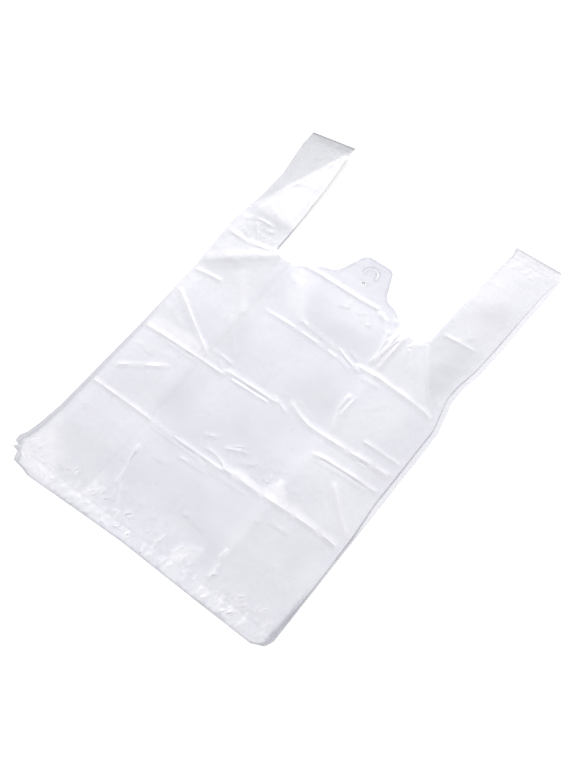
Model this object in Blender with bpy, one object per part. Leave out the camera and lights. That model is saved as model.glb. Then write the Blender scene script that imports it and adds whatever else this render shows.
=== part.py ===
"""Vest-handled carrier bag of thin plastic film, lying flat with its packing creases.

The bag is one piece: a blown film tube, gusseted at both sides, die cut at the mouth and heat
sealed across the bottom and across the top of each handle. Its plies are first laid out dead
flat and cut to the mouth's outline, with an edge along every crease that they will take. They
are joined by their folds, given the film's thickness and sealed, and only then creased,
pinched and laid as the bag really lies.

Metres, +Z up. X runs across the bag and Y from the bottom seal to the handles. The origin is
the middle of the back panel, on the surface that the bag lies on.
"""

import math
from dataclasses import dataclass

import bmesh
import bpy
from mathutils import Vector
from mathutils.geometry import delaunay_2d_cdt

MM = 0.001

# Film and tube
BAG_WIDTH = 260 * MM
BAG_LENGTH = 406 * MM
GUSSET_DEPTH = 68 * MM
FILM = 0.02 * MM
PLY_GAP = 0.8 * MM
FOLD_STEPS = 4

# Heat seals
BOTTOM_SEAL_UP = 13 * MM
HANDLE_SEAL_DOWN = 10 * MM
SEAL_WIDTH = 2.4 * MM
SEAL_PROUD = 0.3 * MM
SEAL_INSET = 0.2 * MM
SEAL_PINCH = 0.08
SKIRT_PINCH = 0.5
PINCH_REACH = 34 * MM

# Mouth die, from the bag's centre line and from its bottom edge
HANDLE_FOOT_WIDTH = 50 * MM
HANDLE_TOP_WIDTH = 45 * MM
MOUTH_FLOOR = 278 * MM
MOUTH_CORNER = 9 * MM
SCOOP_FLOOR = 9 * MM
SHOULDER_UP = 294.5 * MM
SHOULDER_HALF_WIDTH = 31 * MM
TAB_FOOT_UP = 300 * MM
TAB_FOOT_HALF_WIDTH = 24 * MM
TAB_TOP = 324.5 * MM
TAB_HEAD_HALF_WIDTH = 16.5 * MM
TAB_CORNER = 8 * MM

# Hanging slit and pin hole in the tab
SLIT_WIDTH = 0.8 * MM
SLIT_HALF_SPAN = 6.5 * MM
SLIT_BELOW_TAB_TOP = 7.5 * MM
PIN_HOLE_RADIUS = 1.3 * MM
PIN_HOLE_BELOW_SLIT = 17.5 * MM

# Lie of the front panel
CREASE_SPACING = 68.5 * MM
FIRST_CREASE_UP = 92 * MM
CENTRE_SAG = 1.2 * MM
SAG_RUN = 8 * MM
BILLOW = 1.1 * MM
TAB_GAP = 0.2 * MM
EDGE_CLEAR = 4 * MM
FILL_PITCH = 12 * MM
FILL_CLEAR = 4 * MM
CDT_MERGE = 0.25 * MM

# Ridge that the left handle is tented along, from its outer edge to its top inner corner
RIDGE_FOOT_UP = 300 * MM
RIDGE_RISE = 10 * MM

# How far each outer edge strays as the bag lies: (height up the bag, shift across it)
LEFT_LIE = ((0, -1), (10, -4), (20, -6), (38, -1), (60, 1.5), (163, 3), (230, 2.5), (285, -1.5))
LEFT_LIE += ((323, 2.5), (352, 2.5), (373, -1), (392, -4), (406, -4))
RIGHT_LIE = ((0, -3), (4, -1), (9, 0.5), (218, 1), (236, -3), (248, -6), (264, -5.5), (284, -2))
RIGHT_LIE += ((310, -0.5), (370, 2), (398, 3), (406, -1))
# The bottom edge likewise: (distance across from the centre line, shift up the bag)
BOTTOM_LIE = ((-130, 1.5), (-118, 0), (-111, -2), (-60, -0.3), (-10, 1), (55, -0.5), (120, -1.5), (130, 2.5))
PLY_FAN = 4 * MM

HALF_WIDTH = BAG_WIDTH / 2
FOLD_RADIUS = PLY_GAP / 2
PANEL_HALF = HALF_WIDTH - FOLD_RADIUS
EDGE = HALF_WIDTH - EDGE_CLEAR
GUSSET_LINE = HALF_WIDTH - GUSSET_DEPTH
HANDLE_FOOT_IN = HALF_WIDTH - HANDLE_FOOT_WIDTH
HANDLE_TOP_IN = HALF_WIDTH - HANDLE_TOP_WIDTH
SCOOP_IN = HANDLE_FOOT_IN - MOUTH_CORNER - SCOOP_FLOOR
HANDLE_SEAL_UP = BAG_LENGTH - HANDLE_SEAL_DOWN
BACK, LOWER, UPPER, FRONT = (FILM / 2 + step * PLY_GAP for step in range(4))


@dataclass(frozen=True)
class Crease:
    """A ridge in the front panel: its crest, its height and how far each flank runs out."""

    crest: tuple
    height: float
    below: float
    above: float

    def along(self):
        """The crest's corners, measured from the centre line and the bottom edge."""
        return [Vector(corner) for corner in self.crest]

    def taper(self):
        """How far in from each end the crest reaches its full height."""
        ends = self.along()
        run = sum((b - a).length for a, b in zip(ends, ends[1:]))
        return min(0.3 * run, 9 * MM)

    def outline(self):
        """The crest line and the two feet, as three polylines that meet at both ends."""
        points = self.along()
        taper = self.taper()
        first = (points[1] - points[0]).normalized()
        last = (points[-1] - points[-2]).normalized()
        crest = [points[0] + first * taper, *points[1:-1], points[-1] - last * taper]
        sides = []
        for reach in (self.above, -self.below):
            side = []
            for here, point in enumerate(crest):
                before = crest[max(here - 1, 0)]
                after = crest[min(here + 1, len(crest) - 1)]
                run = (after - before).normalized()
                side.append(point + Vector((-run.y, run.x)) * reach)
            sides.append([points[0], *side, points[-1]])
        return [[points[0], *crest, points[-1]], *sides]

    def rise(self, x, y):
        """How far this crease lifts the front panel at a point."""
        points = self.along()
        taper = self.taper()
        total = sum((b - a).length for a, b in zip(points, points[1:]))
        best, walked = 0.0, 0.0
        spot = Vector((x, y))
        for start, end in zip(points, points[1:]):
            run = end - start
            share = min(max((spot - start).dot(run) / run.length_squared, 0.0), 1.0)
            offset = spot - (start + run * share)
            side = run.x * offset.y - run.y * offset.x
            at = walked + share * run.length
            fullness = min(1.0, at / taper, (total - at) / taper)
            reach = (self.above if side > 0 else self.below) * max(fullness, 1e-6)
            best = max(best, self.height * fullness * (1 - offset.length / reach))
            walked += run.length
        return best


def fold_up(number):
    """The height of one of the folds, a gusset's depth apart, that the bag was packed with."""
    return FIRST_CREASE_UP + number * CREASE_SPACING


def packing(number, *corners, height=2.0):
    """A strand of a packing fold through corners of (distance across, mm above the fold)."""
    crest = tuple((x, fold_up(number) + rise * MM) for x, rise in corners)
    return Crease(crest, height * MM, 2.2 * MM, 3.6 * MM)


def stray(*corners, height=1.2, below=2.5, above=2.5):
    """A crease that runs its own way. below and above are the widths of its flanks."""
    return Crease(corners, height * MM, below * MM, above * MM)


INNER = GUSSET_LINE
CREASES = [
    packing(0, (-EDGE, 0), (-INNER, 0.5), (14 * MM, 0), height=1.9),
    packing(0, (8 * MM, 2), (45 * MM, 2), (INNER, 4), (EDGE, 3), height=2.6),
    packing(0, (-9 * MM, 7), (3 * MM, 7), (20 * MM, 3), height=1.2),
    packing(1, (-EDGE, -2), (-40 * MM, 0), height=1.9),
    packing(1, (-44 * MM, 5), (-35 * MM, 3), (20 * MM, 4), height=1.8),
    packing(1, (8 * MM, 8), (24 * MM, 2), (INNER, 1), (EDGE, 4.5), height=2.4),
    packing(2, (-EDGE, -4), (-97 * MM, 0), height=1.4),
    packing(2, (-45 * MM, 1), (20 * MM, -2), height=1.0),
    packing(2, (23 * MM, 5), (47 * MM, -3), height=1.4),
    packing(2, (47 * MM, 0), (85 * MM, 0), (EDGE - 4 * MM, -4), height=2.4),
    packing(3, (HANDLE_FOOT_IN + 7 * MM, -1), (EDGE - 10 * MM, 2), height=1.2),
    stray((-50 * MM, fold_up(3) - 13 * MM), (27 * MM, fold_up(3) - 12.5 * MM), height=1.6),
    stray((92 * MM, fold_up(1) + 17 * MM), (EDGE, fold_up(1) + 18 * MM)),
    stray((INNER + 2 * MM, fold_up(1) - 14 * MM), (EDGE, fold_up(1) - 11 * MM)),
    stray((-EDGE, fold_up(2) - 26 * MM), (-INNER, fold_up(1) + 7 * MM), height=1.6, below=6),
    stray((-EDGE, fold_up(0) + 19 * MM), (-78 * MM, fold_up(1) - 21 * MM)),
    stray((INNER + 32 * MM, fold_up(1) - 25 * MM), (EDGE, fold_up(0) + 13 * MM), height=1.4),
    stray((-EDGE, MOUTH_FLOOR - 40 * MM), (-82 * MM, MOUTH_FLOOR - 8 * MM), height=1.8, above=7),
    stray((HANDLE_FOOT_IN + 2 * MM, MOUTH_FLOOR - 3 * MM), (116 * MM, fold_up(2) + 7 * MM), height=1.8, below=7),
    stray((32 * MM, MOUTH_FLOOR + 2 * MM), (50 * MM, MOUTH_FLOOR - 38 * MM), height=1.1, above=5),
    stray((53 * MM, fold_up(2) - 24 * MM), (58 * MM, fold_up(1) + 20 * MM), height=1.0),
    stray((50 * MM, fold_up(0) + 4 * MM), (59 * MM, fold_up(0) + 18 * MM), (70 * MM, fold_up(0) + 6 * MM)),
    stray((-52 * MM, 70 * MM), (-46 * MM, 34 * MM), height=1.1),
    stray((-4 * MM, 32 * MM), (20 * MM, 42 * MM), (46 * MM, 34 * MM), height=1.4, below=6),
]


def pinch(up):
    """How far apart the plies lie at a height up the bag, from 0 at a seal to 1."""
    level = 1.0
    for seal, outward, skirt in (
        (BOTTOM_SEAL_UP, -1, BOTTOM_SEAL_UP),
        (HANDLE_SEAL_UP, 1, HANDLE_SEAL_DOWN),
    ):
        past_seal = (up - seal) * outward > 0
        away = max(abs(up - seal) - 0.8 * SEAL_WIDTH, 0.0)
        reach, top = (skirt, SKIRT_PINCH) if past_seal else (PINCH_REACH, 1.0)
        level = min(level, SEAL_PINCH + (top - SEAL_PINCH) * min(away / reach, 1.0) ** 0.7)
    return level


def seal_rows(seal):
    """The two rows of points that bound a seal's flat band."""
    return [seal - 0.8 * SEAL_WIDTH, seal + 0.8 * SEAL_WIDTH]


def stations():
    """The heights up the bag at which every outer fold has a row of points."""
    fixed = [0.0, BOTTOM_SEAL_UP / 3, BOTTOM_SEAL_UP * 0.6, RIDGE_FOOT_UP, BAG_LENGTH]
    fixed += seal_rows(BOTTOM_SEAL_UP) + seal_rows(HANDLE_SEAL_UP)
    fixed += [BOTTOM_SEAL_UP + PINCH_REACH * share for share in (0.25, 0.55, 1)]
    fixed += [HANDLE_SEAL_UP - PINCH_REACH * share for share in (0.25, 0.55, 1)]
    steps = round(BAG_LENGTH / FILL_PITCH)
    plain = [BAG_LENGTH * step / steps for step in range(steps)]
    plain = [row for row in plain if all(abs(row - other) > 0.55 * FILL_PITCH for other in fixed)]
    return sorted(fixed + plain)


def arc(centre, radius, start, end, steps):
    """Points on an arc, with its angles in degrees."""
    angles = [math.radians(start + (end - start) * step / steps) for step in range(steps + 1)]
    return [Vector((centre[0] + radius * math.cos(a), centre[1] + radius * math.sin(a))) for a in angles]


def mouth_half():
    """The right half of the mouth die, from the handle's top inner corner to the tab's top."""
    low = MOUTH_FLOOR + MOUTH_CORNER
    high = seal_rows(HANDLE_SEAL_UP)[0]
    half = []
    for row in reversed(stations()):
        if row > low + FILL_CLEAR:
            share = min((row - low) / (high - low), 1.0)
            half.append(Vector((HANDLE_FOOT_IN + (HANDLE_TOP_IN - HANDLE_FOOT_IN) * share, row)))
    half += arc((HANDLE_FOOT_IN - MOUTH_CORNER, low), MOUTH_CORNER, 0, -90, 5)
    for step in range(1, 7):
        share = step / 6
        ease = share * share * (3 - 2 * share)
        half.append(Vector((
            SCOOP_IN + (SHOULDER_HALF_WIDTH - SCOOP_IN) * share,
            MOUTH_FLOOR + (SHOULDER_UP - MOUTH_FLOOR) * ease,
        )))
    half.append(Vector((TAB_FOOT_HALF_WIDTH, TAB_FOOT_UP)))
    return half + arc((TAB_HEAD_HALF_WIDTH - TAB_CORNER, TAB_TOP - TAB_CORNER), TAB_CORNER, 10, 90, 5)


def mirrored(line):
    """The same line on the other side of the bag, in the opposite order."""
    return [Vector((-point.x, point.y)) for point in reversed(line)]


def mouth_height(across):
    """The height of the mouth's edge at a distance from the centre line."""
    half = mouth_half()
    for outer, inner in zip(half, half[1:]):
        if inner.x <= across <= outer.x and outer.x > inner.x:
            return inner.y + (outer.y - inner.y) * (across - inner.x) / (outer.x - inner.x)
    return BAG_LENGTH


def slit_outline():
    """The hanging slit: a narrow inverted U."""
    centre = (0.0, TAB_TOP - SLIT_BELOW_TAB_TOP - SLIT_HALF_SPAN)
    legs = SLIT_HALF_SPAN * 0.35
    outer = arc(centre, SLIT_HALF_SPAN, 0, 180, 8)
    inner = arc(centre, SLIT_HALF_SPAN - SLIT_WIDTH, 180, 0, 8)
    foot = centre[1] - legs
    left = [Vector((-SLIT_HALF_SPAN, foot)), Vector((SLIT_WIDTH - SLIT_HALF_SPAN, foot))]
    return outer + left + inner + mirrored(left)


def pin_outline():
    """The pin hole that held the bag in its block."""
    up = TAB_TOP - SLIT_BELOW_TAB_TOP - PIN_HOLE_BELOW_SLIT
    return arc((0.0, up), PIN_HOLE_RADIUS, 0, 315, 7)


def within(point, outline):
    """True if a point lies inside a closed outline."""
    inside = False
    for a, b in zip(outline, outline[1:] + outline[:1]):
        if (a.y > point.y) != (b.y > point.y):
            if point.x < a.x + (b.x - a.x) * (point.y - a.y) / (b.y - a.y):
                inside = not inside
    return inside


def distance(spot, line):
    """How far a point is from the nearest stretch of a line."""
    nearest = math.inf
    for start, end in zip(line, line[1:]):
        run = end - start
        share = min(max((spot - start).dot(run) / run.length_squared, 0.0), 1.0)
        nearest = min(nearest, (spot - start - run * share).length)
    return nearest


def ply(outline, level, lines, holes, fill):
    """One flat ply as (corners, triangles), with an edge along each of the given lines.

    level is its height, and fill the pitch of the plain points between the lines, or None for
    a ply that needs none.
    """
    points = list(outline)
    edges = [(at, (at + 1) % len(points)) for at in range(len(points))]
    for line in lines + [hole + hole[:1] for hole in holes]:
        start = len(points)
        points += line
        edges += [(start + at, start + at + 1) for at in range(len(line) - 1)]
    if fill:
        keep_off = lines + [outline + outline[:1]] + [hole + hole[:1] for hole in holes]
        low, high = min(point.x for point in outline), max(point.x for point in outline)
        across = max(round((high - low) / fill), 1)
        for number, row in enumerate(stations()):
            for step in range(across):
                spot = Vector((low + (high - low) * (step + 0.25 + 0.5 * (number % 2)) / across, row))
                if within(spot, outline) and all(distance(spot, line) > FILL_CLEAR for line in keep_off):
                    points.append(spot)
    found = delaunay_2d_cdt(points, edges, [list(range(len(outline)))], 1, CDT_MERGE)
    corners, faces = found[0], []
    for face in found[2]:
        middle = sum((corners[at] for at in face), Vector((0, 0))) / len(face)
        if not any(within(middle, hole) for hole in holes):
            faces.append(face)
    return [Vector((corner.x, corner.y, level)) for corner in corners], faces


def fold(side, x_edge, bottom, heights):
    """The round of film that joins the ply at one level to the ply above it.

    side is 1 where the fold bulges towards +X and -1 where it bulges towards -X.
    """
    points, faces = [], []
    for row in heights:
        for step in range(FOLD_STEPS + 1):
            angle = math.pi * step / FOLD_STEPS
            x = x_edge + side * FOLD_RADIUS * math.sin(angle)
            z = bottom + FOLD_RADIUS * (1 - math.cos(angle))
            points.append(Vector((x, row, z)))
    ring = FOLD_STEPS + 1
    for row in range(len(heights) - 1):
        for step in range(FOLD_STEPS):
            at = row * ring + step
            faces.append((at, at + 1, at + ring + 1))
            faces.append((at, at + ring + 1, at + ring))
    return points, faces


def panel_outline(half, rows):
    """The outline of the front or back panel."""
    bottom = [Vector((x * MM, 0.0)) for x, _ in BOTTOM_LIE if abs(x * MM) < PANEL_HALF - 2 * MM]
    right = [Vector((PANEL_HALF, row)) for row in rows]
    left = [Vector((-PANEL_HALF, row)) for row in reversed(rows)]
    return bottom + right + half + mirrored(half) + left


def gusset_outline(side, inner, half, rows, inner_rows):
    """The outline of one ply of a gusset, from its inner fold to its outer fold."""
    edge = [point for point in half if point.x > inner + MM]
    outer = [Vector((PANEL_HALF, row)) for row in rows]
    fold_side = [Vector((inner, row)) for row in reversed(inner_rows)]
    outline = outer + edge + fold_side
    return outline if side > 0 else mirrored(outline)


def film_tube():
    """The gusseted tube with its mouth, slit and pin hole cut, as an open sheet."""
    rows = stations()
    half = mouth_half()
    inner = GUSSET_LINE + FOLD_RADIUS
    inner_rows = [row for row in rows if row < mouth_height(inner) - 2 * MM] + [mouth_height(inner)]
    top = seal_rows(HANDLE_SEAL_UP)
    tent = [
        [Vector((-PANEL_HALF, RIDGE_FOOT_UP)), Vector((MM - HANDLE_FOOT_IN, RIDGE_FOOT_UP))],
        [Vector((-PANEL_HALF, RIDGE_FOOT_UP)), Vector((-HANDLE_TOP_IN, top[0]))],
    ]
    left_band = [[Vector((-PANEL_HALF, row)), Vector((-HANDLE_TOP_IN, row))] for row in top]
    right_band = [mirrored(line) for line in left_band]
    low_band = [[Vector((-PANEL_HALF, row)), Vector((PANEL_HALF, row))] for row in seal_rows(BOTTOM_SEAL_UP)]
    bands = left_band + right_band + low_band
    gusset_lines = [
        [Vector((side * x, row)) for row in inner_rows[:-1] + [mouth_height(x)]]
        for side in (-1, 1)
        for x in (inner, inner - SAG_RUN)
    ]
    creases = [line for crease in CREASES for line in crease.outline()]
    holes = [slit_outline(), pin_outline()]
    panel = panel_outline(half, rows)
    pieces = [
        ply(panel, BACK, tent + bands, holes, None),
        ply(panel, FRONT, tent + bands + gusset_lines + creases, holes, FILL_PITCH),
    ]
    for level in (LOWER, UPPER):
        for side, lines in ((-1, tent + left_band), (1, right_band)):
            ends = (-PANEL_HALF, -inner) if side < 0 else (inner, PANEL_HALF)
            low = [[Vector((x, row)) for x in ends] for row in seal_rows(BOTTOM_SEAL_UP)]
            pieces.append(ply(gusset_outline(side, inner, half, rows, inner_rows), level, lines + low, [], None))
    for side in (-1, 1):
        pieces.append(fold(side, side * PANEL_HALF, BACK, rows))
        pieces.append(fold(-side, side * inner, LOWER, inner_rows))
        pieces.append(fold(side, side * PANEL_HALF, UPPER, rows))
    mesh = bmesh.new()
    for points, faces in pieces:
        made = [mesh.verts.new(point) for point in points]
        for face in faces:
            mesh.faces.new([made[at] for at in face])
    loose = [vert for vert in mesh.verts if not vert.link_faces]
    bmesh.ops.delete(mesh, geom=loose, context="VERTS")
    bmesh.ops.remove_doubles(mesh, verts=mesh.verts, dist=1e-6)
    bmesh.ops.recalc_face_normals(mesh, faces=mesh.faces)
    return mesh


def object_from(mesh, name):
    """A new object in the scene made from a bmesh, which is freed."""
    data = bpy.data.meshes.new(name)
    mesh.to_mesh(data)
    mesh.free()
    made = bpy.data.objects.new(name, data)
    bpy.context.scene.collection.objects.link(made)
    return made


def block(name, x_from, x_to, y_from, y_to, z_from, z_to):
    """A plain box between two corners."""
    mesh = bmesh.new()
    bmesh.ops.create_cube(mesh, size=1.0)
    for vert in mesh.verts:
        vert.co = Vector((
            x_from if vert.co.x < 0 else x_to,
            y_from if vert.co.y < 0 else y_to,
            z_from if vert.co.z < 0 else z_to,
        ))
    return object_from(mesh, name)


def seal_bars():
    """The fused bands: one across the bottom and one across each handle's top."""
    end = PANEL_HALF - SEAL_INSET
    inner = HANDLE_TOP_IN + SEAL_INSET
    spans = [
        ("bottom_seal", -end, end, BOTTOM_SEAL_UP),
        ("left_handle_seal", -end, -inner, HANDLE_SEAL_UP),
        ("right_handle_seal", inner, end, HANDLE_SEAL_UP),
    ]
    half = SEAL_WIDTH / 2
    top = FRONT + FILM / 2 + SEAL_PROUD
    return [block(name, a, b, up - half, up + half, BACK, top) for name, a, b, up in spans]


def combine(target, operand, operation):
    """Joins or cuts one object with another, and removes the other."""
    modifier = target.modifiers.new(operand.name, "BOOLEAN")
    modifier.operation = operation
    modifier.object = operand
    bpy.context.view_layer.update()
    graph = bpy.context.evaluated_depsgraph_get()
    made = bpy.data.meshes.new_from_object(target.evaluated_get(graph))
    target.modifiers.clear()
    target.data = made
    bpy.data.objects.remove(operand)


def tidy(target):
    """Splits the faces that the seals cut into triangles, while they are still flat."""
    mesh = bmesh.new()
    mesh.from_mesh(target.data)
    bmesh.ops.dissolve_degenerate(mesh, edges=mesh.edges, dist=1e-6)
    bmesh.ops.triangulate(mesh, faces=mesh.faces, ngon_method="BEAUTY")
    mesh.to_mesh(target.data)
    mesh.free()


def give_thickness(target):
    """Turns the open sheet into walls of the film's own thickness, half to each side."""
    modifier = target.modifiers.new("film", "SOLIDIFY")
    modifier.thickness = FILM
    modifier.offset = 0.0
    bpy.context.view_layer.update()
    graph = bpy.context.evaluated_depsgraph_get()
    made = bpy.data.meshes.new_from_object(target.evaluated_get(graph))
    target.modifiers.clear()
    target.data = made


def between(table, at):
    """The shift that a table of (place, shift) in millimetres gives at a place in metres."""
    place = at / MM
    for (low, first), (high, last) in zip(table, table[1:]):
        if place <= high:
            share = max((place - low) / (high - low), 0.0)
            return (first + (last - first) * share) * MM
    return table[-1][1] * MM


def clamp(value):
    """The value held between 0 and 1."""
    return min(max(value, 0.0), 1.0)


def squeezed(z, level):
    """A point's height once the gaps between the plies shrink, with the film as thick as ever."""
    number = math.floor(z / PLY_GAP)
    within = z - number * PLY_GAP
    gap = (PLY_GAP - FILM) * level
    return number * (FILM + gap) + min(within, FILM) + max(within - FILM, 0.0) * level


def crease_rise(x, up):
    """The height of the highest crease at a point."""
    return max(crease.rise(x, up) for crease in CREASES)


def billow(x, up):
    """How far the front panel arches up between two packing folds."""
    wave = math.sin(math.pi * (up - FIRST_CREASE_UP) / CREASE_SPACING) ** 2
    return BILLOW * wave * clamp((HALF_WIDTH - abs(x)) / GUSSET_DEPTH) ** 0.5


def ridge_rise(x, up):
    """How far the left handle is tented up, all plies together, on two flat facets."""
    top = seal_rows(HANDLE_SEAL_UP)[0]
    climb = clamp((up - RIDGE_FOOT_UP) / (top - RIDGE_FOOT_UP))
    if x > MOUTH_CORNER - HANDLE_FOOT_IN:
        return 0.0
    return RIDGE_RISE * min(climb, max(x + HALF_WIDTH, 0.0) / HANDLE_TOP_WIDTH)


def lay_down(target):
    """Moves every point from the flat layout to where the creased bag really lies."""
    for vert in target.data.vertices:
        x, up, z = vert.co
        front = clamp((z - UPPER - FILM / 2) / (PLY_GAP - FILM))
        height = clamp(z / FRONT)
        squeeze = pinch(up)
        loose = clamp((squeeze - SEAL_PINCH) / (0.7 - SEAL_PINCH))
        pressed = clamp((up - SHOULDER_UP) / (TAB_FOOT_UP - SHOULDER_UP))
        sag = CENTRE_SAG + (FRONT - TAB_GAP - CENTRE_SAG) * pressed
        sag *= clamp((GUSSET_LINE + FOLD_RADIUS - abs(x)) / SAG_RUN)
        rise = (crease_rise(x, up) + billow(x, up)) * (1 - pressed) - sag
        if abs(x) > HANDLE_FOOT_IN:
            rise = crease_rise(x, up) + billow(x, up)
        rise *= loose
        outward = clamp((abs(x) - GUSSET_LINE) / GUSSET_DEPTH)
        stray_x = between(RIGHT_LIE if x > 0 else LEFT_LIE, up) * outward
        skirt = clamp(1 - up / BOTTOM_SEAL_UP)
        if x < 0:
            stray_x += PLY_FAN * height * skirt * outward
        stray_up = between(BOTTOM_LIE, x) * skirt
        level = squeezed(z, squeeze) + rise * front + ridge_rise(x, up)
        vert.co = (x + stray_x, up + stray_up, level)


def centre(target):
    """Moves the bag so that the origin is the middle of its footprint, on the surface below."""
    xs = [vert.co.x for vert in target.data.vertices]
    ys = [vert.co.y for vert in target.data.vertices]
    low = min(vert.co.z for vert in target.data.vertices)
    shift = Vector(((min(xs) + max(xs)) / 2, (min(ys) + max(ys)) / 2, low))
    for vert in target.data.vertices:
        vert.co -= shift


def film_material():
    """Milky, faintly lavender polyethylene film with a soft gloss."""
    material = bpy.data.materials.new("milky_film")
    material.use_nodes = True
    shader = material.node_tree.nodes["Principled BSDF"]
    shader.inputs["Base Color"].default_value = (0.86, 0.86, 0.91, 1.0)
    shader.inputs["Roughness"].default_value = 0.28
    shader.inputs["Metallic"].default_value = 0.0
    shader.inputs["Alpha"].default_value = 0.8
    return material


def main():
    """Builds the bag."""
    for old in list(bpy.data.objects):
        bpy.data.objects.remove(old)
    bag = object_from(film_tube(), "carrier_bag")
    give_thickness(bag)
    for bar in seal_bars():
        combine(bag, bar, "UNION")
    tidy(bag)
    lay_down(bag)
    centre(bag)
    bag.data.materials.clear()
    bag.data.materials.append(film_material())
    bag.data.shade_smooth()
    bag.data.set_sharp_from_angle(angle=math.radians(30))


main()
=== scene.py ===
"""Looks for a milky plastic carrier bag that lies flat: its film, creases, seals and studio."""

import logging
import math
from dataclasses import dataclass, field
from enum import Enum
from typing import Callable, Iterable, Sequence

import bmesh
import bpy
import numpy as np
from mathutils import Matrix, Vector
from mathutils.geometry import delaunay_2d_cdt


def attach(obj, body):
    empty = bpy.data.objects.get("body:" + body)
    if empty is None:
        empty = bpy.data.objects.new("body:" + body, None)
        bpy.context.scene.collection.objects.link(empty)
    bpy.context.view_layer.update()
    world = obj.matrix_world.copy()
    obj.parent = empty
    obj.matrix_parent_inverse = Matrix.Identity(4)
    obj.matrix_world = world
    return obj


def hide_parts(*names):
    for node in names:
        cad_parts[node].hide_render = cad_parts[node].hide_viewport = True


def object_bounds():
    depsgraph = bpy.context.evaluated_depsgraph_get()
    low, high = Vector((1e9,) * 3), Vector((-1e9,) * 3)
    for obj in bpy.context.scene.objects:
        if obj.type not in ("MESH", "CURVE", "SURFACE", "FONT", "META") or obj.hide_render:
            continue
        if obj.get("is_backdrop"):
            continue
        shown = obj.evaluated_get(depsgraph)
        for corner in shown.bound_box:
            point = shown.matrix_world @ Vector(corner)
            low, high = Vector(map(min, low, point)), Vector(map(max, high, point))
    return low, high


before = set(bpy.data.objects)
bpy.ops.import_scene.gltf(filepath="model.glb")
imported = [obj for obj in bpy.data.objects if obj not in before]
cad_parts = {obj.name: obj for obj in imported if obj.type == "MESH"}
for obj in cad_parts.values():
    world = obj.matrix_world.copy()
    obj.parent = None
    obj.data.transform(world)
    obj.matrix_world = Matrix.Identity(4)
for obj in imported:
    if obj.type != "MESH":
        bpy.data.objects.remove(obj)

logging.basicConfig(level=logging.INFO, format="%(name)s: %(message)s")
log = logging.getLogger("carrier_bag")

Array = np.ndarray
Socket = bpy.types.NodeSocket

MM = 0.001
CAD_NODE = "carrier_bag"
BODY = "root"

# The flat layout's own origin is the bag's centre line and bottom edge. This is where it lies
# in the row frame, in millimetres.
LAYOUT_TO_ROW = (1.3, -202.0)


class Ply(Enum):
    """The four plies over each gusset, from the surface that the bag lies on upwards."""

    BACK = 0
    LOWER = 1
    UPPER = 2
    FRONT = 3


@dataclass(frozen=True)
class BagSizes:
    """The CAD part's flat sizes, and from sag on how loosely the film lies, in millimetres."""

    width: float = 260.0
    length: float = 406.0
    gusset: float = 68.0
    film: float = 0.02
    gap: float = 0.8
    fold_steps: int = 4
    seal_up: float = 13.0
    handle_seal_down: float = 10.0
    seal_width: float = 2.4
    seal_pinch: float = 0.08
    skirt_pinch: float = 0.25
    pinch_reach: float = 58.0
    handle_foot: float = 50.0
    handle_top: float = 45.0
    floor: float = 278.0
    corner: float = 9.0
    scoop_floor: float = 9.0
    shoulder_up: float = 294.5
    shoulder_half: float = 31.0
    tab_foot_up: float = 300.0
    tab_foot_half: float = 24.0
    tab_top: float = 324.5
    tab_shoulder: tuple = (27.2, 296.4)
    tab_head_half: float = 16.5
    tab_corner: float = 8.0
    slit_width: float = 0.8
    slit_half: float = 6.5
    slit_drop: float = 7.5
    pin_radius: float = 1.3
    pin_drop: float = 17.5
    crease_spacing: float = 68.5
    first_crease: float = 92.0
    sag: float = 0.55
    sag_run: float = 14.0
    edge_press: float = 0.42
    edge_run: tuple = (16.0, 30.0)
    cut_press: float = 0.5
    cut_run: float = 7.0
    billow: float = 1.1
    tab_gap: float = 0.2
    press_from: float = 248.0
    ridge_foot: float = 300.0
    ridge_rise: float = 6.5
    ridge_lean: tuple = (-0.26, 0.36)

    @property
    def half(self) -> float:
        """Half the flat width."""
        return self.width / 2

    @property
    def panel_half(self) -> float:
        """Where the flat panel meets its outer fold."""
        return self.half - self.gap / 2

    @property
    def gusset_line(self) -> float:
        """How far from the centre line the gussets' inner folds lie."""
        return self.half - self.gusset

    @property
    def pin_up(self) -> float:
        """The height of the pin hole's centre."""
        return self.tab_top - self.slit_drop - self.pin_drop

    @property
    def seal_band(self) -> float:
        """Half the width of the flat band that a seal makes."""
        return 0.8 * self.seal_width

    @property
    def handle_seal(self) -> float:
        """The height of the seals across the handle tops."""
        return self.length - self.handle_seal_down

    def level(self, ply: Ply) -> float:
        """Returns the height of a ply's middle in the flat layout."""
        return self.film / 2 + ply.value * self.gap


@dataclass(frozen=True)
class Lie:
    """How far the bag's edges stray as it lies: tables of (place, shift) in millimetres."""

    left: tuple = (
        (0, 5), (1.5, 4), (6, 2.5), (8.5, 1.5), (9.7, -4.8), (13.5, -1), (14.7, -6), (20, -6.8),
        (26, -3.5), (38, -1), (60, 1.5), (163, 3), (230, 2.5), (285, -1.5), (323, 2.5), (352, 2.5),
        (373, -1), (392, -4), (406, -4),
    )
    right: tuple = (
        (0, -3), (4, -1), (9, 0.5), (218, 1), (236, -3), (248, -6), (264, -5.5), (284, -2),
        (310, -0.5), (370, 2), (398, 3), (406, -1),
    )
    bottom: tuple = (
        (-130, 1.5), (-118, 0), (-111, -2), (-60, -0.3), (-10, 1), (55, -0.5), (120, -1.5),
        (130, 2.5),
    )
    left_fan: tuple = ((0, 4), (13, 3), (150, 2.5), (200, 0.6), (406, 0.4))
    right_fan: tuple = (
        (0, -2), (60, -1.2), (110, -2), (140, -4.5), (245, -4.5), (375, -4), (400, -1),
    )
    # How much of its press the right edge keeps, by height up the bag.
    right_press: tuple = ((0, 1), (90, 1), (170, 0.3), (406, 0.3))


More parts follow.
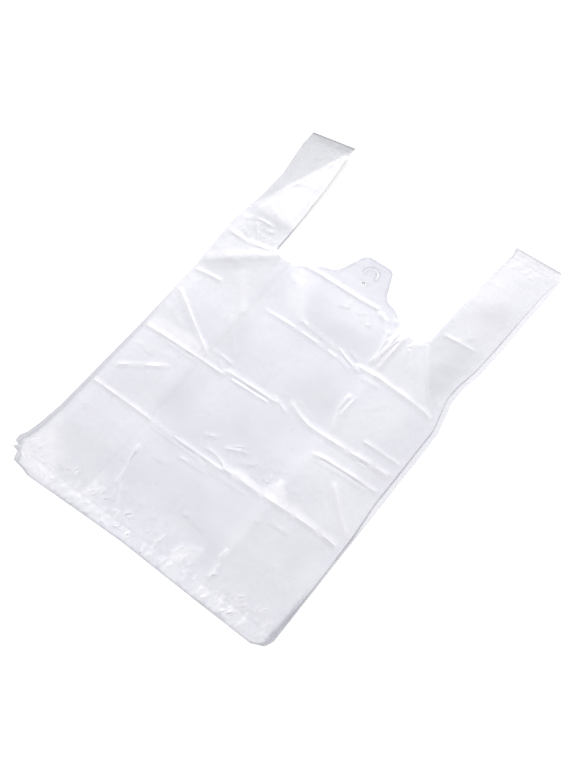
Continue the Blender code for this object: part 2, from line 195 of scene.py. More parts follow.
def between(table: Sequence, at: Array) -> Array:
    """Interpolates a table of (place, shift).

    Args:
        table: The pairs, in order of place.
        at: The places asked for.

    Returns:
        The shift at each place.
    """
    places, shifts = zip(*table)
    return np.interp(at, places, shifts)


def unit(value: Array, start: float = 0.0, run: float = 1.0) -> Array:
    """Returns 0 up to a start and 1 from a run past it, evenly between. A negative run falls."""
    return np.clip((value - start) / run, 0.0, 1.0)


def eased(value: Array, start: float = 0.0, run: float = 1.0) -> Array:
    """Returns the same share as unit, as a smooth step."""
    share = unit(value, start, run)
    return share * share * (3 - 2 * share)


class Relief:
    """Seeded two-dimensional noise for the film's fine relief."""

    START = (311.7, 177.3)
    WARP_CELL, WARP = 1.7, 0.5

    def __init__(self, seed: int) -> None:
        self.table = np.random.default_rng(seed).uniform(-1, 1, (97, 89))

    def plain(self, x: Array, y: Array, cell: float) -> Array:
        """Returns smooth noise from -1 to 1 with features about a cell across."""
        u, v = x / cell + self.START[0], y / cell + self.START[1]
        i, j = np.floor(u).astype(int), np.floor(v).astype(int)
        a, b = eased(u - i), eased(v - j)
        rows, columns = self.table.shape
        pick = lambda p, q: self.table[p % rows, q % columns]
        low = pick(i, j) * (1 - a) + pick(i + 1, j) * a
        high = pick(i, j + 1) * (1 - a) + pick(i + 1, j + 1) * a
        return low * (1 - b) + high * b

    def ridged(self, x: Array, y: Array, cell: float) -> Array:
        """Returns noise from 0 to 1 whose crests are sharp lines, as crumpled film has."""
        warp_x = self.plain(x + 91, y - 37, cell * self.WARP_CELL) * cell * self.WARP
        warp_y = self.plain(x - 53, y + 71, cell * self.WARP_CELL) * cell * self.WARP
        return (1 - np.abs(self.plain(x + warp_x, y + warp_y, cell))) ** 3


@dataclass(frozen=True)
class Crease:
    """A ridge in the film, in millimetres.

    Args:
        crest: The corners of its crest.
        height: How high it stands.
        below: The reach of its flank to the right of the crest's run.
        above: The reach of its flank to the left.
        power: How hollow its flanks are.
    """

    crest: tuple
    height: float
    below: float
    above: float
    power: float

    # How far past its flanks a point still counts as near, in millimetres.
    ROOM = 1
    # The reach above which its upper flank gets a line of its own in the mesh.
    WIDE = 3
    # How its ends run out: a share of its length, and the most in millimetres.
    TAPER = (0.3, 4.5)
    # How its height varies along it: by how much, how fast, and where the wave starts.
    VARY = (0.16, 0.23, 1.7)

    @property
    def corners(self) -> Array:
        """The crest's corners as an array."""
        return np.array(self.crest, float)

    def profile(self, x: Array, y: Array) -> Array:
        """Returns its shape at each point, about 1 along its crest and 0 past its flanks."""
        corners = self.corners
        lengths = np.hypot(*np.diff(corners, axis=0).T)
        total = lengths.sum()
        taper = min(self.TAPER[0] * total, self.TAPER[1])
        much, fast, start = self.VARY
        best = np.zeros_like(x)
        walked = 0.0
        for (ax, ay), (bx, by), length in zip(corners, corners[1:], lengths):
            ux, uy = (bx - ax) / length, (by - ay) / length
            along = np.clip((x - ax) * ux + (y - ay) * uy, 0, length)
            dx, dy = x - ax - along * ux, y - ay - along * uy
            at = walked + along
            full = unit(np.minimum(at, total - at) / taper)
            full = full * (2 - full)
            vary = 1 + much * np.sin(fast * at + start * corners[0, 0])
            flank = np.where(ux * dy - uy * dx > 0, self.above, self.below) * (0.5 + 0.5 * full)
            shape = np.clip(1 - np.hypot(dx, dy) / flank, 0, None) ** self.power
            best = np.maximum(best, full * vary * shape)
            walked += length
        return best

    def near(self, x: Array, y: Array) -> Array:
        """Returns which points the crease can reach."""
        corners, reach = self.corners, max(self.above, self.below) + self.ROOM
        return (
            (x > corners[:, 0].min() - reach) & (x < corners[:, 0].max() + reach)
            & (y > corners[:, 1].min() - reach) & (y < corners[:, 1].max() + reach)
        )

    def lines(self, step: float) -> list:
        """Returns the polylines that the mesh needs an edge along."""
        corners = self.corners
        found = [resampled(corners, step)]
        run = np.gradient(found[0], axis=0)
        run /= np.maximum(np.linalg.norm(run, axis=1, keepdims=True), 1e-9)
        normal = np.stack([-run[:, 1], run[:, 0]], axis=1)
        found.append(found[0][1:-1] - normal[1:-1] * self.below)
        if self.above > self.WIDE:
            found.append(found[0][1:-1] + normal[1:-1] * self.above * 0.5)
        return [line for line in found if len(line) > 1]


def resampled(corners: Array, step: float) -> Array:
    """Returns points along a polyline about a step apart, its corners kept."""
    points = [corners[0]]
    for a, b in zip(corners, corners[1:]):
        count = max(int(round(np.linalg.norm(b - a) / step)), 1)
        points += [a + (b - a) * n / count for n in range(1, count + 1)]
    return np.array(points)


def ridge(height: float, below: float, above: float, *crest: float, power: float = 1.25) -> Crease:
    """Returns a crease from its sizes and its crest's corners, x and y in turn."""
    return Crease(tuple(zip(crest[::2], crest[1::2])), height, below, above, power)


# The folds that packing left across the bag, and what reaches them.
PACKING = (
    ridge(0.69, 2.2, 2.8, -128, 93, -100, 92.8, -60, 92.4),
    ridge(0.43, 2.0, 2.4, -66, 92.4, -28, 92),
    ridge(0.69, 2.2, 3.0, -34, 92, -10, 92.2, 18, 92),
    ridge(0.60, 1.8, 2.8, -10, 100, 3, 99.6, 13, 96, 22, 93.6),
    ridge(0.90, 3.0, 6.0, 12, 93.6, 30, 94.2, 47, 94, 62, 94.4, 80, 95),
    ridge(0.73, 6.2, 2.4, 50, 95, 58.5, 111, 72, 97, power=1.05),
    ridge(0.90, 2.8, 5.5, 72, 95, 100, 95.6, 115, 95.4, 127.5, 94),
    ridge(0.69, 2.0, 3.0, -128, 158, -100, 158.6, -60, 159, -36, 159.4),
    ridge(0.52, 1.8, 2.2, -61, 171, -50, 172, -36, 170.4),
    ridge(0.52, 2.0, 2.4, -50, 168, -42, 162.5, -34, 161),
    ridge(0.77, 2.2, 4.2, -40, 163.4, -20, 164, 0, 164.4, 14, 164.6),
    ridge(0.60, 1.8, 2.4, 5, 168, 14, 165.6, 26, 161.4),
    ridge(0.90, 2.8, 5.0, 20, 172, 35, 166, 45, 163.4, 62, 163, 85, 163.4, 110, 165, 127, 165.4),
    ridge(0.69, 2.0, 2.8, -128, 226, -118, 227, -97, 229),
    ridge(0.56, 2.0, 2.6, -50, 228.5, -20, 229, 5, 228.4, 28, 226.5),
    ridge(0.47, 2.0, 2.6, -22, 238, 0, 236, 24, 232.6),
    ridge(0.69, 1.9, 2.4, 22, 235, 33, 230.5, 50, 225.5),
    ridge(0.86, 2.8, 4.6, 42, 230, 66, 231, 85, 229.8, 115, 228, 126, 225),
    ridge(0.69, 2.0, 2.8, -58, 281.5, -46, 284, -30, 284.4, 0, 284.2, 28, 285),
    ridge(0.60, 1.8, 2.6, 84.5, 296, 100, 297, 119, 298.5),
    ridge(0.60, 1.8, 2.8, 89, 177.4, 110, 178, 128, 178.4),
    ridge(0.73, 2.0, 3.2, 62, 145.4, 75, 147.4, 90, 148, 127, 149),
)
# The other creases that can be told apart in the photo.
STRAYS = (
    ridge(0.80, 4.0, 1.8, -126, 203, -110, 194, -90, 182, -70, 171, -58, 164, power=1.05),
    ridge(0.35, 4.0, 5.0, -118, 168, -80, 168, -66, 165),
    ridge(0.60, 2.4, 4.0, -122, 113, -105, 123, -78, 139),
    ridge(0.70, 4.4, 8.0, -128, 238, -110, 250, -90, 265, -72, 279, power=1.1),
    ridge(0.45, 1.8, 1.6, 80.5, 280, 95, 263, 110, 245, 122, 232, power=1.1),
    ridge(0.75, 4.5, 2.0, 92, 136, 105, 124, 127, 105),
    ridge(0.80, 3.0, 1.6, 56, 206, 56, 190, 60, 178, 66, 169),
    ridge(0.60, 2.4, 1.5, 61.5, 207, 60, 183),
    ridge(0.75, 2.8, 1.4, 27, 284, 38, 279, 47, 268, 51.5, 252, 51, 237),
    ridge(0.70, 2.4, 1.4, 42, 286, 50, 281, 54.5, 272, 54, 258, 51.6, 240),
    ridge(0.70, 2.4, 1.4, 59, 276, 57, 266, 54, 250, 52.5, 238),
    ridge(0.80, 3.0, 1.6, 61, 276, 59.5, 236),
    ridge(0.60, 6.0, 5.0, -44, 270, -36, 258, -26, 243, -18, 234, power=1.3),
    ridge(0.50, 8.0, 6.0, -90, 248, -70, 223, -60, 213, power=1.3),
    ridge(0.95, 2.8, 1.4, -52, 71, -50, 60, -47.4, 48, -46, 33),
    ridge(0.60, 2.0, 1.3, -43, 38, -37, 28, -32, 20),
    ridge(0.80, 2.4, 1.3, 60, 45, 57.5, 34),
    ridge(0.60, 2.0, 1.3, 62, 33, 61, 23),
    ridge(0.50, 1.4, 2.4, 13, 45.6, 20, 47.6),
    ridge(0.25, 8.0, 3.0, 2, 38, 15, 43, 32, 43, 46, 38, power=1.1),
    ridge(0.86, 2.2, 4.0, 26, 14, 30, 25, 47, 32, power=1.1),
    ridge(0.55, 1.6, 3.0, 24, 18, 33, 31),
    ridge(0.55, 1.6, 3.0, 35, 16, 40, 27),
    ridge(0.70, 1.9, 4.0, -62, 14, -51, 24),
    ridge(0.45, 3.0, 2.0, -120, 36, -102, 20),
    ridge(0.40, 2.4, 1.9, -112, 24, -98, 14),
    ridge(0.50, 1.6, 2.8, -16, 107, -4, 114),
    ridge(0.55, 1.6, 2.8, 2, 107, 18, 114),
    ridge(0.45, 1.6, 2.8, 20, 104, 34, 112),
    ridge(0.35, 2.4, 1.6, 44, 103, 50, 113),
    ridge(0.35, 1.6, 2.6, 65, 110, 76, 112),
    ridge(0.40, 1.4, 2.2, -22, 81, 7, 83),
    ridge(0.30, 1.4, 2.2, -38, 69, -22, 71),
    ridge(0.40, 1.6, 2.6, 70, 80, 92, 81),
    ridge(0.30, 1.6, 2.4, 60, 74, 68, 76),
    ridge(0.50, 1.6, 2.8, -126, 274, -105, 273, -82, 278, -74, 280),
    ridge(0.45, 1.6, 2.4, -124, 292, -110, 299, -95, 299),
    ridge(0.40, 1.8, 1.4, -112, 296, -104, 287, -98, 284),
    ridge(0.35, 1.4, 2.0, -100, 291, -90, 295),
    ridge(0.50, 4.0, 2.0, -120, 317, -102, 311, -88, 303),
    ridge(0.55, 4.0, 2.2, -52, 272, -46, 262),
    ridge(0.45, 1.4, 1.8, 67, 267, 75, 277),
    ridge(0.40, 1.8, 1.4, 69, 276, 75, 268),
    ridge(0.50, 2.0, 1.4, 122, 246, 128, 236),
    ridge(0.30, 2.0, 4.0, -112, 342, -98, 350, -86, 349),
    ridge(0.35, 1.4, 2.0, 105, 303, 111, 308),
    ridge(0.25, 1.2, 1.8, -58, 88.2, -30, 88.6, 0, 88.2),
    ridge(0.25, 1.2, 1.8, -8, 85.4, 20, 86, 44, 87),
    ridge(0.22, 1.2, 1.8, -100, 154.6, -60, 155.4),
    ridge(0.45, 1.4, 2.0, -34, 159.4, -10, 160, 8, 160.4),
    ridge(0.25, 1.2, 1.8, 64, 141, 90, 143.4, 120, 144.6),
    ridge(0.35, 1.4, 1.8, 24, 177, 34, 172.4, 44, 169),
    ridge(0.30, 1.4, 1.8, 50, 221, 60, 223.4, 72, 222.6),
    ridge(0.40, 1.4, 1.8, 27, 228, 36, 224.6, 44, 222),
    ridge(0.40, 1.4, 1.8, 30, 238.6, 38, 235.6, 46, 234),
    ridge(0.25, 1.4, 1.8, -20, 171.6, -4, 171),
    ridge(0.30, 1.4, 1.8, 6, 173, 17, 176),
    ridge(0.30, 3.0, 2.0, -128, 186, -112, 181, -96, 174),
    ridge(0.22, 2.5, 2.5, -126, 140, -100, 144, -80, 148),
    ridge(0.25, 4.0, 3.0, -70, 208, -52, 190, -40, 178),
    ridge(0.30, 3.0, 1.8, 98, 118, 112, 101),
    ridge(0.30, 4.0, 2.0, -118, 50, -104, 30),
    ridge(0.30, 3.0, 2.0, -126, 30, -108, 14),
    ridge(0.20, 2.0, 2.0, 70, 262, 92, 246),
)


@dataclass(frozen=True)
class LightShadePatch:
    """A patch of painted highlight or painted shade, where the film catches or loses the light,
    and in part where plies touch or part.

    Args:
        corners: Its outline, in millimetres of the flat layout.
        tone: How far it goes paler as painted highlight (positive) or darker as painted shade
            (negative).
        soft: How wide its border fades, in millimetres.
    """

    corners: tuple
    tone: float
    soft: float

    def share(self, x: Array, y: Array) -> Array:
        """Returns the patch's tone at each point."""
        corners, points = np.array(self.corners, float), np.column_stack([x, y])
        away = np.full(len(points), np.inf)
        for a, b in zip(corners, np.roll(corners, -1, axis=0)):
            run = b - a
            along = np.clip((points - a) @ run / (run @ run), 0, 1)
            away = np.minimum(away, np.linalg.norm(points - a - along[:, None] * run, axis=1))
        deep = np.where(inside(points, corners), away, -away)
        return self.tone * eased(0.5 + deep / (2 * self.soft))


def patch(tone: float, soft: float, *outline: float) -> LightShadePatch:
    """Returns a facet from its tone, its border's width and its corners, x and y in turn."""
    return LightShadePatch(tuple(zip(outline[::2], outline[1::2])), tone, soft)


# Painted highlights (positive tone) and painted shade (negative), where the film's facets catch or
# lose the light; a few also follow where plies touch or part.
LIGHT_AND_SHADE_PATCHES = (
    patch(-0.10, 5, -33, 281, 38, 281, 51, 244, 42, 238, -14, 238),
    patch(-0.22, 5, -31, 282, 37, 282, 46, 262, -26, 262),
    patch(-0.21, 3, 81, 282, 121, 232, 127, 244, 125, 262, 126, 296, 86, 295),
    patch(-0.28, 2.5, 54, 268, 61, 277, 64, 236, 52, 236),
    patch(-0.24, 4, -128, 235, -72, 278, -60, 276, -116, 230),
    patch(-0.22, 12, -12, 118, 34, 122, 30, 156, -8, 152),
    patch(-0.18, 9, -62, 108, -38, 112, -44, 152, -66, 146),
    patch(-0.20, 12, 10, 176, 56, 174, 58, 206, 20, 214),
    patch(-0.18, 8, -64, 178, -44, 176, -46, 214, -62, 214),
    patch(-0.14, 10, -30, 62, 110, 58, 114, 88, -34, 88),
    patch(-0.13, 4, 48, 20, 57, 22, 56, 46, 46, 42),
    patch(-0.40, 2, 3, 41, 16, 46, 34, 45, 47, 39, 34, 42, 16, 43),
    patch(-0.16, 8, 95, 324, 125, 326, 122, 350, 92, 346),
    patch(-0.12, 3, -122, 318, -112, 321, -84, 306, -82, 299, -94, 303, -120, 311),
    patch(0.70, 4, -126, 161, -126, 168, -70, 171, -58, 162),
    patch(0.85, 3.5, 49, 94, 58, 113, 63, 108, 78, 96),
    patch(0.55, 4, 70, 95, 114, 96, 80, 104),
    patch(0.60, 3, 14, 94, 52, 94, 46, 101, 26, 102),
    patch(0.34, 6, -56, 276, -44, 279, -32, 262, -15, 240, -24, 236, -42, 246),
    patch(0.50, 3, -52, 264, -46, 276, -42, 268),
    patch(0.16, 4, 63, 277, 79, 279, 118, 233, 66, 236),
    patch(0.16, 9, -92, 250, -82, 252, -56, 212, -68, 210),
    patch(0.16, 4, -129, 240, -76, 281, -86, 282, -129, 252),
    patch(-0.14, 6, -129, 262, -84, 286, -82, 302, -129, 316),
    patch(-0.16, 4, -113, 338, -86, 346, -86, 356, -112, 350),
    patch(0.60, 3, 25, 11, 34, 13, 48, 31, 36, 30, 28, 24),
    patch(0.60, 3, -65, 12, -58, 13, -51, 25, -60, 23),
    patch(0.40, 3, 66, 266, 76, 266, 77, 278, 66, 279),
    patch(0.50, 9, -129, 4, -88, 2, -96, 30, -126, 50),
    patch(0.14, 4, -5, 22, 44, 32, 40, 41, 20, 43, 2, 38),
    patch(0.14, 8, 94, 104, 127, 100, 127, 140, 98, 134),
    patch(0.26, 7, 86, 302, 131, 302, 131, 406, 86, 406),
    patch(0.60, 1.5, 84, 396, 131, 396, 131, 407, 84, 407),
)


@dataclass(frozen=True)
class CrinkleZone:
    """A patch of film that handling has covered with small creases.

    Args:
        low: Its lower left corner, in millimetres of the flat layout.
        high: Its upper right corner.
        count: How many creases it has.
        lean: Their usual direction, in degrees from across the bag.
        spread: How far the direction varies.
        length: Their shortest and longest length.
        height: Their lowest and highest height.
    """

    low: tuple
    high: tuple
    count: int
    lean: float
    spread: float
    length: tuple
    height: tuple

    # How far out and up a crease may reach, its flanks' shortest and longest reach, its power.
    LIMIT = (127, 404)
    BELOW, ABOVE, POWER = (0.7, 1.2), (1.2, 2.4), 1.15

    def creases(self, seed: int) -> list:
        """Returns the zone's creases, the same for the same seed."""
        pick = np.random.default_rng(seed)
        found = []
        for _ in range(self.count):
            start = pick.uniform(self.low, self.high)
            turn = math.radians(self.lean + pick.uniform(-self.spread, self.spread))
            bend = pick.uniform(-0.5, 0.5)
            length, height = pick.uniform(*self.length), pick.uniform(*self.height)
            corners, stride = [tuple(start)], length / 3
            for step in range(3):
                angle = turn + bend * (step - 1)
                x, y = corners[-1]
                corners.append((x + stride * math.cos(angle), y + stride * math.sin(angle)))
            if all(abs(x) < self.LIMIT[0] and 1 < y < self.LIMIT[1] for x, y in corners):
                below, above = pick.uniform(*self.BELOW), pick.uniform(*self.ABOVE)
                found.append(Crease(tuple(corners), height, below, above, self.POWER))
        return found


ZONES = (
    CrinkleZone((-127, 2), (122, 20), 84, 72.0, 40.0, (4.0, 11.0), (0.4, 0.9)),
    CrinkleZone((-60, 18), (60, 32), 16, 50.0, 60.0, (5.0, 11.0), (0.2, 0.4)),
    CrinkleZone((-20, 100), (55, 116), 9, 20.0, 25.0, (7.0, 16.0), (0.18, 0.35)),
    CrinkleZone((-125, 110), (-20, 150), 3, 40.0, 50.0, (10.0, 24.0), (0.12, 0.22)),
    CrinkleZone((62, 100), (124, 225), 5, 20.0, 60.0, (8.0, 18.0), (0.12, 0.25)),
    CrinkleZone((-40, 262), (45, 282), 9, 60.0, 60.0, (6.0, 14.0), (0.12, 0.25)),
    CrinkleZone((64, 262), (80, 277), 10, 75.0, 60.0, (3.0, 8.0), (0.15, 0.35)),
    CrinkleZone((-116, 276), (-86, 298), 18, 20.0, 80.0, (3.0, 8.0), (0.12, 0.28)),
    CrinkleZone((-122, 372), (-90, 402), 10, 60.0, 40.0, (5.0, 12.0), (0.1, 0.2)),
    CrinkleZone((88, 384), (126, 404), 34, 70.0, 50.0, (3.0, 9.0), (0.2, 0.5)),
)
CRINKLES = [crease for seed, zone in enumerate(ZONES) for crease in zone.creases(seed + 7)]
# Short steep puckers that run up from the bottom edge: distance across, lean, length and height.
GATHERS = (
    (-93, 3, 12, 0.7), (-89, -4, 9, 0.6), (-79, 2, 11, 0.7), (-72, 5, 8, 0.6), (-61, -2, 12, 0.8),
    (-49, 3, 10, 0.7), (-42, 6, 12, 0.7), (-32, -5, 11, 0.8), (-12, 2, 9, 0.6), (8, -3, 12, 0.8),
    (11, 4, 9, 0.6), (15, -2, 11, 0.7), (29, 3, 13, 0.8), (33, -5, 10, 0.7), (61, 2, 12, 0.8),
    (66, 5, 11, 0.8), (71, -4, 13, 0.9), (76, 3, 10, 0.7), (83, -2, 12, 0.8), (87, 5, 9, 0.6),
    (103, 3, 11, 0.7), (-108, 8, 14, 0.8), (-116, 5, 12, 0.7), (-100, -6, 12, 0.7),
)
PUCKERS = [
    ridge(height, 1.6, 1.6, across, 0.5, across + lean, 0.5 + length, power=1.2)
    for across, lean, length, height in GATHERS
]


def highest(creases: Iterable, x: Array, up: Array, share: Callable) -> Array:
    """Returns the highest of some creases at each point.

    Args:
        creases: The creases.
        x: How far across each point lies.
        up: How far up the bag it lies.
        share: Tells how much of its profile a crease adds.

    Returns:
        The height at each point, 0 where no crease reaches.
    """
    best = np.zeros_like(x)
    for crease in creases:
        near = crease.near(x, up)
        best[near] = np.maximum(best[near], share(crease) * crease.profile(x[near], up[near]))
    return best


@dataclass
class Layout:
    """The bag's flat layout: outlines, rows of points and the lines that the mesh follows.

    Args:
        sizes: The bag's sizes.
        row_step: How far apart the rows of points along the folds are.
    """

    sizes: BagSizes
    row_step: float = 2.5

    # Rows that the stepped lower left corner needs.
    CORNER_ROWS = (3.0, 6.0, 8.5, 9.7, 13.5, 14.7, 17.5, 20.0)

    def seal_rows(self, seal: float) -> list:
        """Returns the two rows that bound a seal's flat band."""
        return [seal - self.sizes.seal_band, seal + self.sizes.seal_band]

    def rows(self) -> Array:
        """Returns the heights of the rows of points along the outer folds."""
        s = self.sizes
        fixed = [0.0, s.ridge_foot, s.length, *self.CORNER_ROWS]
        fixed += self.seal_rows(s.seal_up) + self.seal_rows(s.handle_seal)
        rows = list(fixed)
        for row in np.linspace(0, s.length, int(s.length / self.row_step))[1:-1]:
            if min(abs(row - other) for other in fixed) > 0.6 * self.row_step:
                rows.append(row)
        rows.sort()
        apart = [True] + [high - low > 0.3 for low, high in zip(rows, rows[1:])]
        return np.array(rows)[apart]

    def arc(self, centre: tuple, radius: float, start: float, end: float, steps: int) -> list:
        """Returns points on an arc, with its angles in degrees."""
        x, y = centre
        angles = np.radians(np.linspace(start, end, steps + 1))
        return [(x + radius * math.cos(a), y + radius * math.sin(a)) for a in angles]

    def mouth_half(self) -> Array:
        """Returns the right half of the mouth, from the handle's top to the tab's top."""
        s = self.sizes
        foot_in, top_in = s.half - s.handle_foot, s.half - s.handle_top
        low, high = s.floor + s.corner, self.seal_rows(s.handle_seal)[0]
        half = []
        for row in self.rows()[::-1]:
            if row > low + 1.5:
                climb = min((row - low) / (high - low), 1.0)
                half.append((foot_in + (top_in - foot_in) * climb, row))
        half += self.arc((foot_in - s.corner, low), s.corner, 0, -90, 10)
        start = foot_in - s.corner - s.scoop_floor
        half += [(start + s.scoop_floor * n / 4, s.floor) for n in (3, 2, 1)]
        for share in np.linspace(0, 1, 17):
            climb = float(eased(share))
            half.append((
                start + (s.shoulder_half - start) * share,
                s.floor + (s.shoulder_up - s.floor) * climb,
            ))
        foot = (s.tab_foot_half, s.tab_foot_up)
        head = self.arc(
            (s.tab_head_half - s.tab_corner, s.tab_top - s.tab_corner), s.tab_corner, 10, 90, 9)
        (x, y), (run, rise) = foot, (head[0][0] - foot[0], head[0][1] - foot[1])
        side = [(x + run * n / 7, y + rise * n / 7) for n in range(1, 7)]
        return np.array(half + [s.tab_shoulder, foot] + side + head)

    def mouth_height(self, across: float) -> float:
        """Returns the height of the mouth's edge at a distance from the centre line."""
        half = self.mouth_half()
        for (outer, high), (inner, low) in zip(half, half[1:]):
            if inner <= across <= outer and outer > inner:
                return low + (high - low) * (across - inner) / (outer - inner)
        return self.sizes.length

    def slit(self) -> Array:
        """Returns the outline of the hanging slit, a narrow inverted U."""
        s = self.sizes
        centre = (0.0, s.tab_top - s.slit_drop - s.slit_half)
        foot = centre[1] - 0.35 * s.slit_half
        outer = self.arc(centre, s.slit_half, 0, 180, 14)
        inner = self.arc(centre, s.slit_half - s.slit_width, 180, 0, 14)
        left = [(-s.slit_half, foot), (s.slit_width - s.slit_half, foot)]
        right = [(-x, y) for x, y in left[::-1]]
        return np.array(outer + left + inner + right)

    def pin(self, share: float = 1.0) -> Array:
        """Returns the outline of the pin hole, or of a share of it."""
        radius = share * self.sizes.pin_radius
        return np.array(self.arc((0.0, self.sizes.pin_up), radius, 0, 330, 11))


def straight(start: tuple, end: tuple) -> Array:
    """Returns points along a straight line, as close as the mesh needs them."""
    return resampled(np.array([start, end], float), 2.4)


def upright(across: float, rows: Array) -> Array:
    """Returns points up the bag at one distance across."""
    return np.column_stack([np.full(len(rows), across), rows])


def mirrored(line: Array) -> Array:
    """Returns a line on the other side of the bag, in the opposite order."""
    return line[::-1] * np.array([-1.0, 1.0])


def inside(points: Array, outline: Array) -> Array:
    """Returns which points lie within a closed outline."""
    found = np.zeros(len(points), bool)
    for a, b in zip(outline, np.roll(outline, -1, axis=0)):
        if a[1] == b[1]:
            continue
        crosses = (a[1] > points[:, 1]) != (b[1] > points[:, 1])
        edge = a[0] + (b[0] - a[0]) * (points[:, 1] - a[1]) / (b[1] - a[1])
        found ^= crosses & (points[:, 0] < edge)
    return found


def clear_of(points: Array, lines: Iterable, clear: float) -> Array:
    """Returns which points are at least a distance away from every line."""
    cell, margin = 0.5, 10
    low = points.min(axis=0) - margin
    shape = np.ceil((points.max(axis=0) + margin - low) / cell).astype(int) + 1
    taken = np.zeros(shape, bool)
    reach = int(math.ceil(clear / cell))
    for line in lines:
        spots = np.floor((resampled(np.asarray(line, float), cell) - low) / cell).astype(int)
        for i in range(-reach, reach + 1):
            for j in range(-reach, reach + 1):
                if i * i + j * j <= reach * reach:
                    near = spots + (i, j)
                    fits = ((near >= 0) & (near < shape)).all(axis=1)
                    taken[near[fits, 0], near[fits, 1]] = True
    at = np.floor((points - low) / cell).astype(int)
    return ~taken[at[:, 0], at[:, 1]]


@dataclass
class Surface:
    """An open sheet of film gathered from flat plies and rounded folds."""

    layout: Layout
    points: list = field(default_factory=list)
    faces: list = field(default_factory=list)
    count: int = 0

    # A ply's grid: its rows' pitch and its jitter as shares of the pitch, how far it keeps from
    # lines (a share, and the most in millimetres), and how close points are welded.
    ROW_PITCH, JITTER, CLEAR, WELD = 0.866, 0.18, (0.55, 1.2), 0.12
    GRID_SEED = 5
    KEYS_PER_MM = 2000

    def add(self, points: Array, faces: Iterable) -> None:
        """Adds a piece with its own points and faces."""
        self.points.append(points)
        self.faces += [tuple(at + self.count for at in face) for face in faces]
        self.count += len(points)

    def ply(self, outline: Array, ply: Ply, lines: list, holes: list, pitch: float) -> None:
        """Adds one flat ply.

        Args:
            outline: Its closed outline.
            ply: Which ply it is.
            lines: Polylines that the triangles follow.
            holes: Closed outlines that are cut out of it.
            pitch: How far apart its plain points are.
        """
        closed = [np.vstack([loop, loop[:1]]) for loop in [outline, *holes]]
        points = [tuple(p) for p in outline]
        edges = [(at, (at + 1) % len(points)) for at in range(len(points))]
        for line in lines + closed[1:]:
            start = len(points)
            points += [tuple(p) for p in line]
            edges += [(start + at, start + at + 1) for at in range(len(line) - 1)]
        low, high = outline.min(axis=0), outline.max(axis=0)
        xs = np.arange(low[0], high[0] + pitch, pitch)
        ys = np.arange(low[1], high[1] + pitch, pitch * self.ROW_PITCH)
        grid = np.stack(np.meshgrid(xs, ys), axis=-1)
        grid[1::2, :, 0] += pitch / 2
        grid = grid.reshape(-1, 2)
        shake = np.random.default_rng(self.GRID_SEED)
        grid += shake.uniform(-self.JITTER, self.JITTER, grid.shape) * pitch
        grid = grid[inside(grid, outline)]
        grid = grid[clear_of(grid, lines + closed, min(self.CLEAR[0] * pitch, self.CLEAR[1]))]
        points += [tuple(p) for p in grid]
        loop = list(range(len(outline)))
        found = delaunay_2d_cdt([Vector(p) for p in points], edges, [loop], 1, self.WELD)
        corners = np.array([tuple(p) for p in found[0]])
        triangles = np.array([face for face in found[2] if len(face) == 3])
        middles = corners[triangles].mean(axis=1)
        for hole in holes:
            keep = ~inside(middles, hole)
            triangles, middles = triangles[keep], middles[keep]
        level = np.full(len(corners), self.layout.sizes.level(ply))
        self.add(np.column_stack([corners, level]), triangles.tolist())

    def fold(self, side: int, edge: float, ply: Ply, rows: Array) -> None:
        """Adds the round of film that joins a ply to the one above it, bulging to one side."""
        s = self.layout.sizes
        angles = np.pi * np.arange(s.fold_steps + 1) / s.fold_steps
        radius = s.gap / 2
        ring = len(angles)
        points = np.array([
            (edge + side * radius * math.sin(a), row, s.level(ply) + radius * (1 - math.cos(a)))
            for row in rows for a in angles
        ])
        faces = []
        for row in range(len(rows) - 1):
            for step in range(s.fold_steps):
                at = row * ring + step
                faces += [(at, at + 1, at + ring + 1), (at, at + ring + 1, at + ring)]
        self.add(points, faces)

    def mesh(self, name: str) -> bpy.types.Mesh:
        """Returns the welded sheet as a mesh in metres."""
        points = np.vstack(self.points)
        keys = np.round(points * self.KEYS_PER_MM).astype(np.int64)
        _, first, index = np.unique(keys, axis=0, return_index=True, return_inverse=True)
        index = index.reshape(-1)
        faces = [[int(index[at]) for at in face] for face in self.faces]
        faces = [face for face in faces if len(set(face)) == len(face)]
        mesh = bpy.data.meshes.new(name)
        mesh.from_pydata((points[first] * MM).tolist(), [], faces)
        work = bmesh.new()
        work.from_mesh(mesh)
        bmesh.ops.delete(work, geom=[v for v in work.verts if not v.link_faces], context="VERTS")
        bmesh.ops.recalc_face_normals(work, faces=work.faces)
        work.to_mesh(mesh)
        work.free()
        return mesh


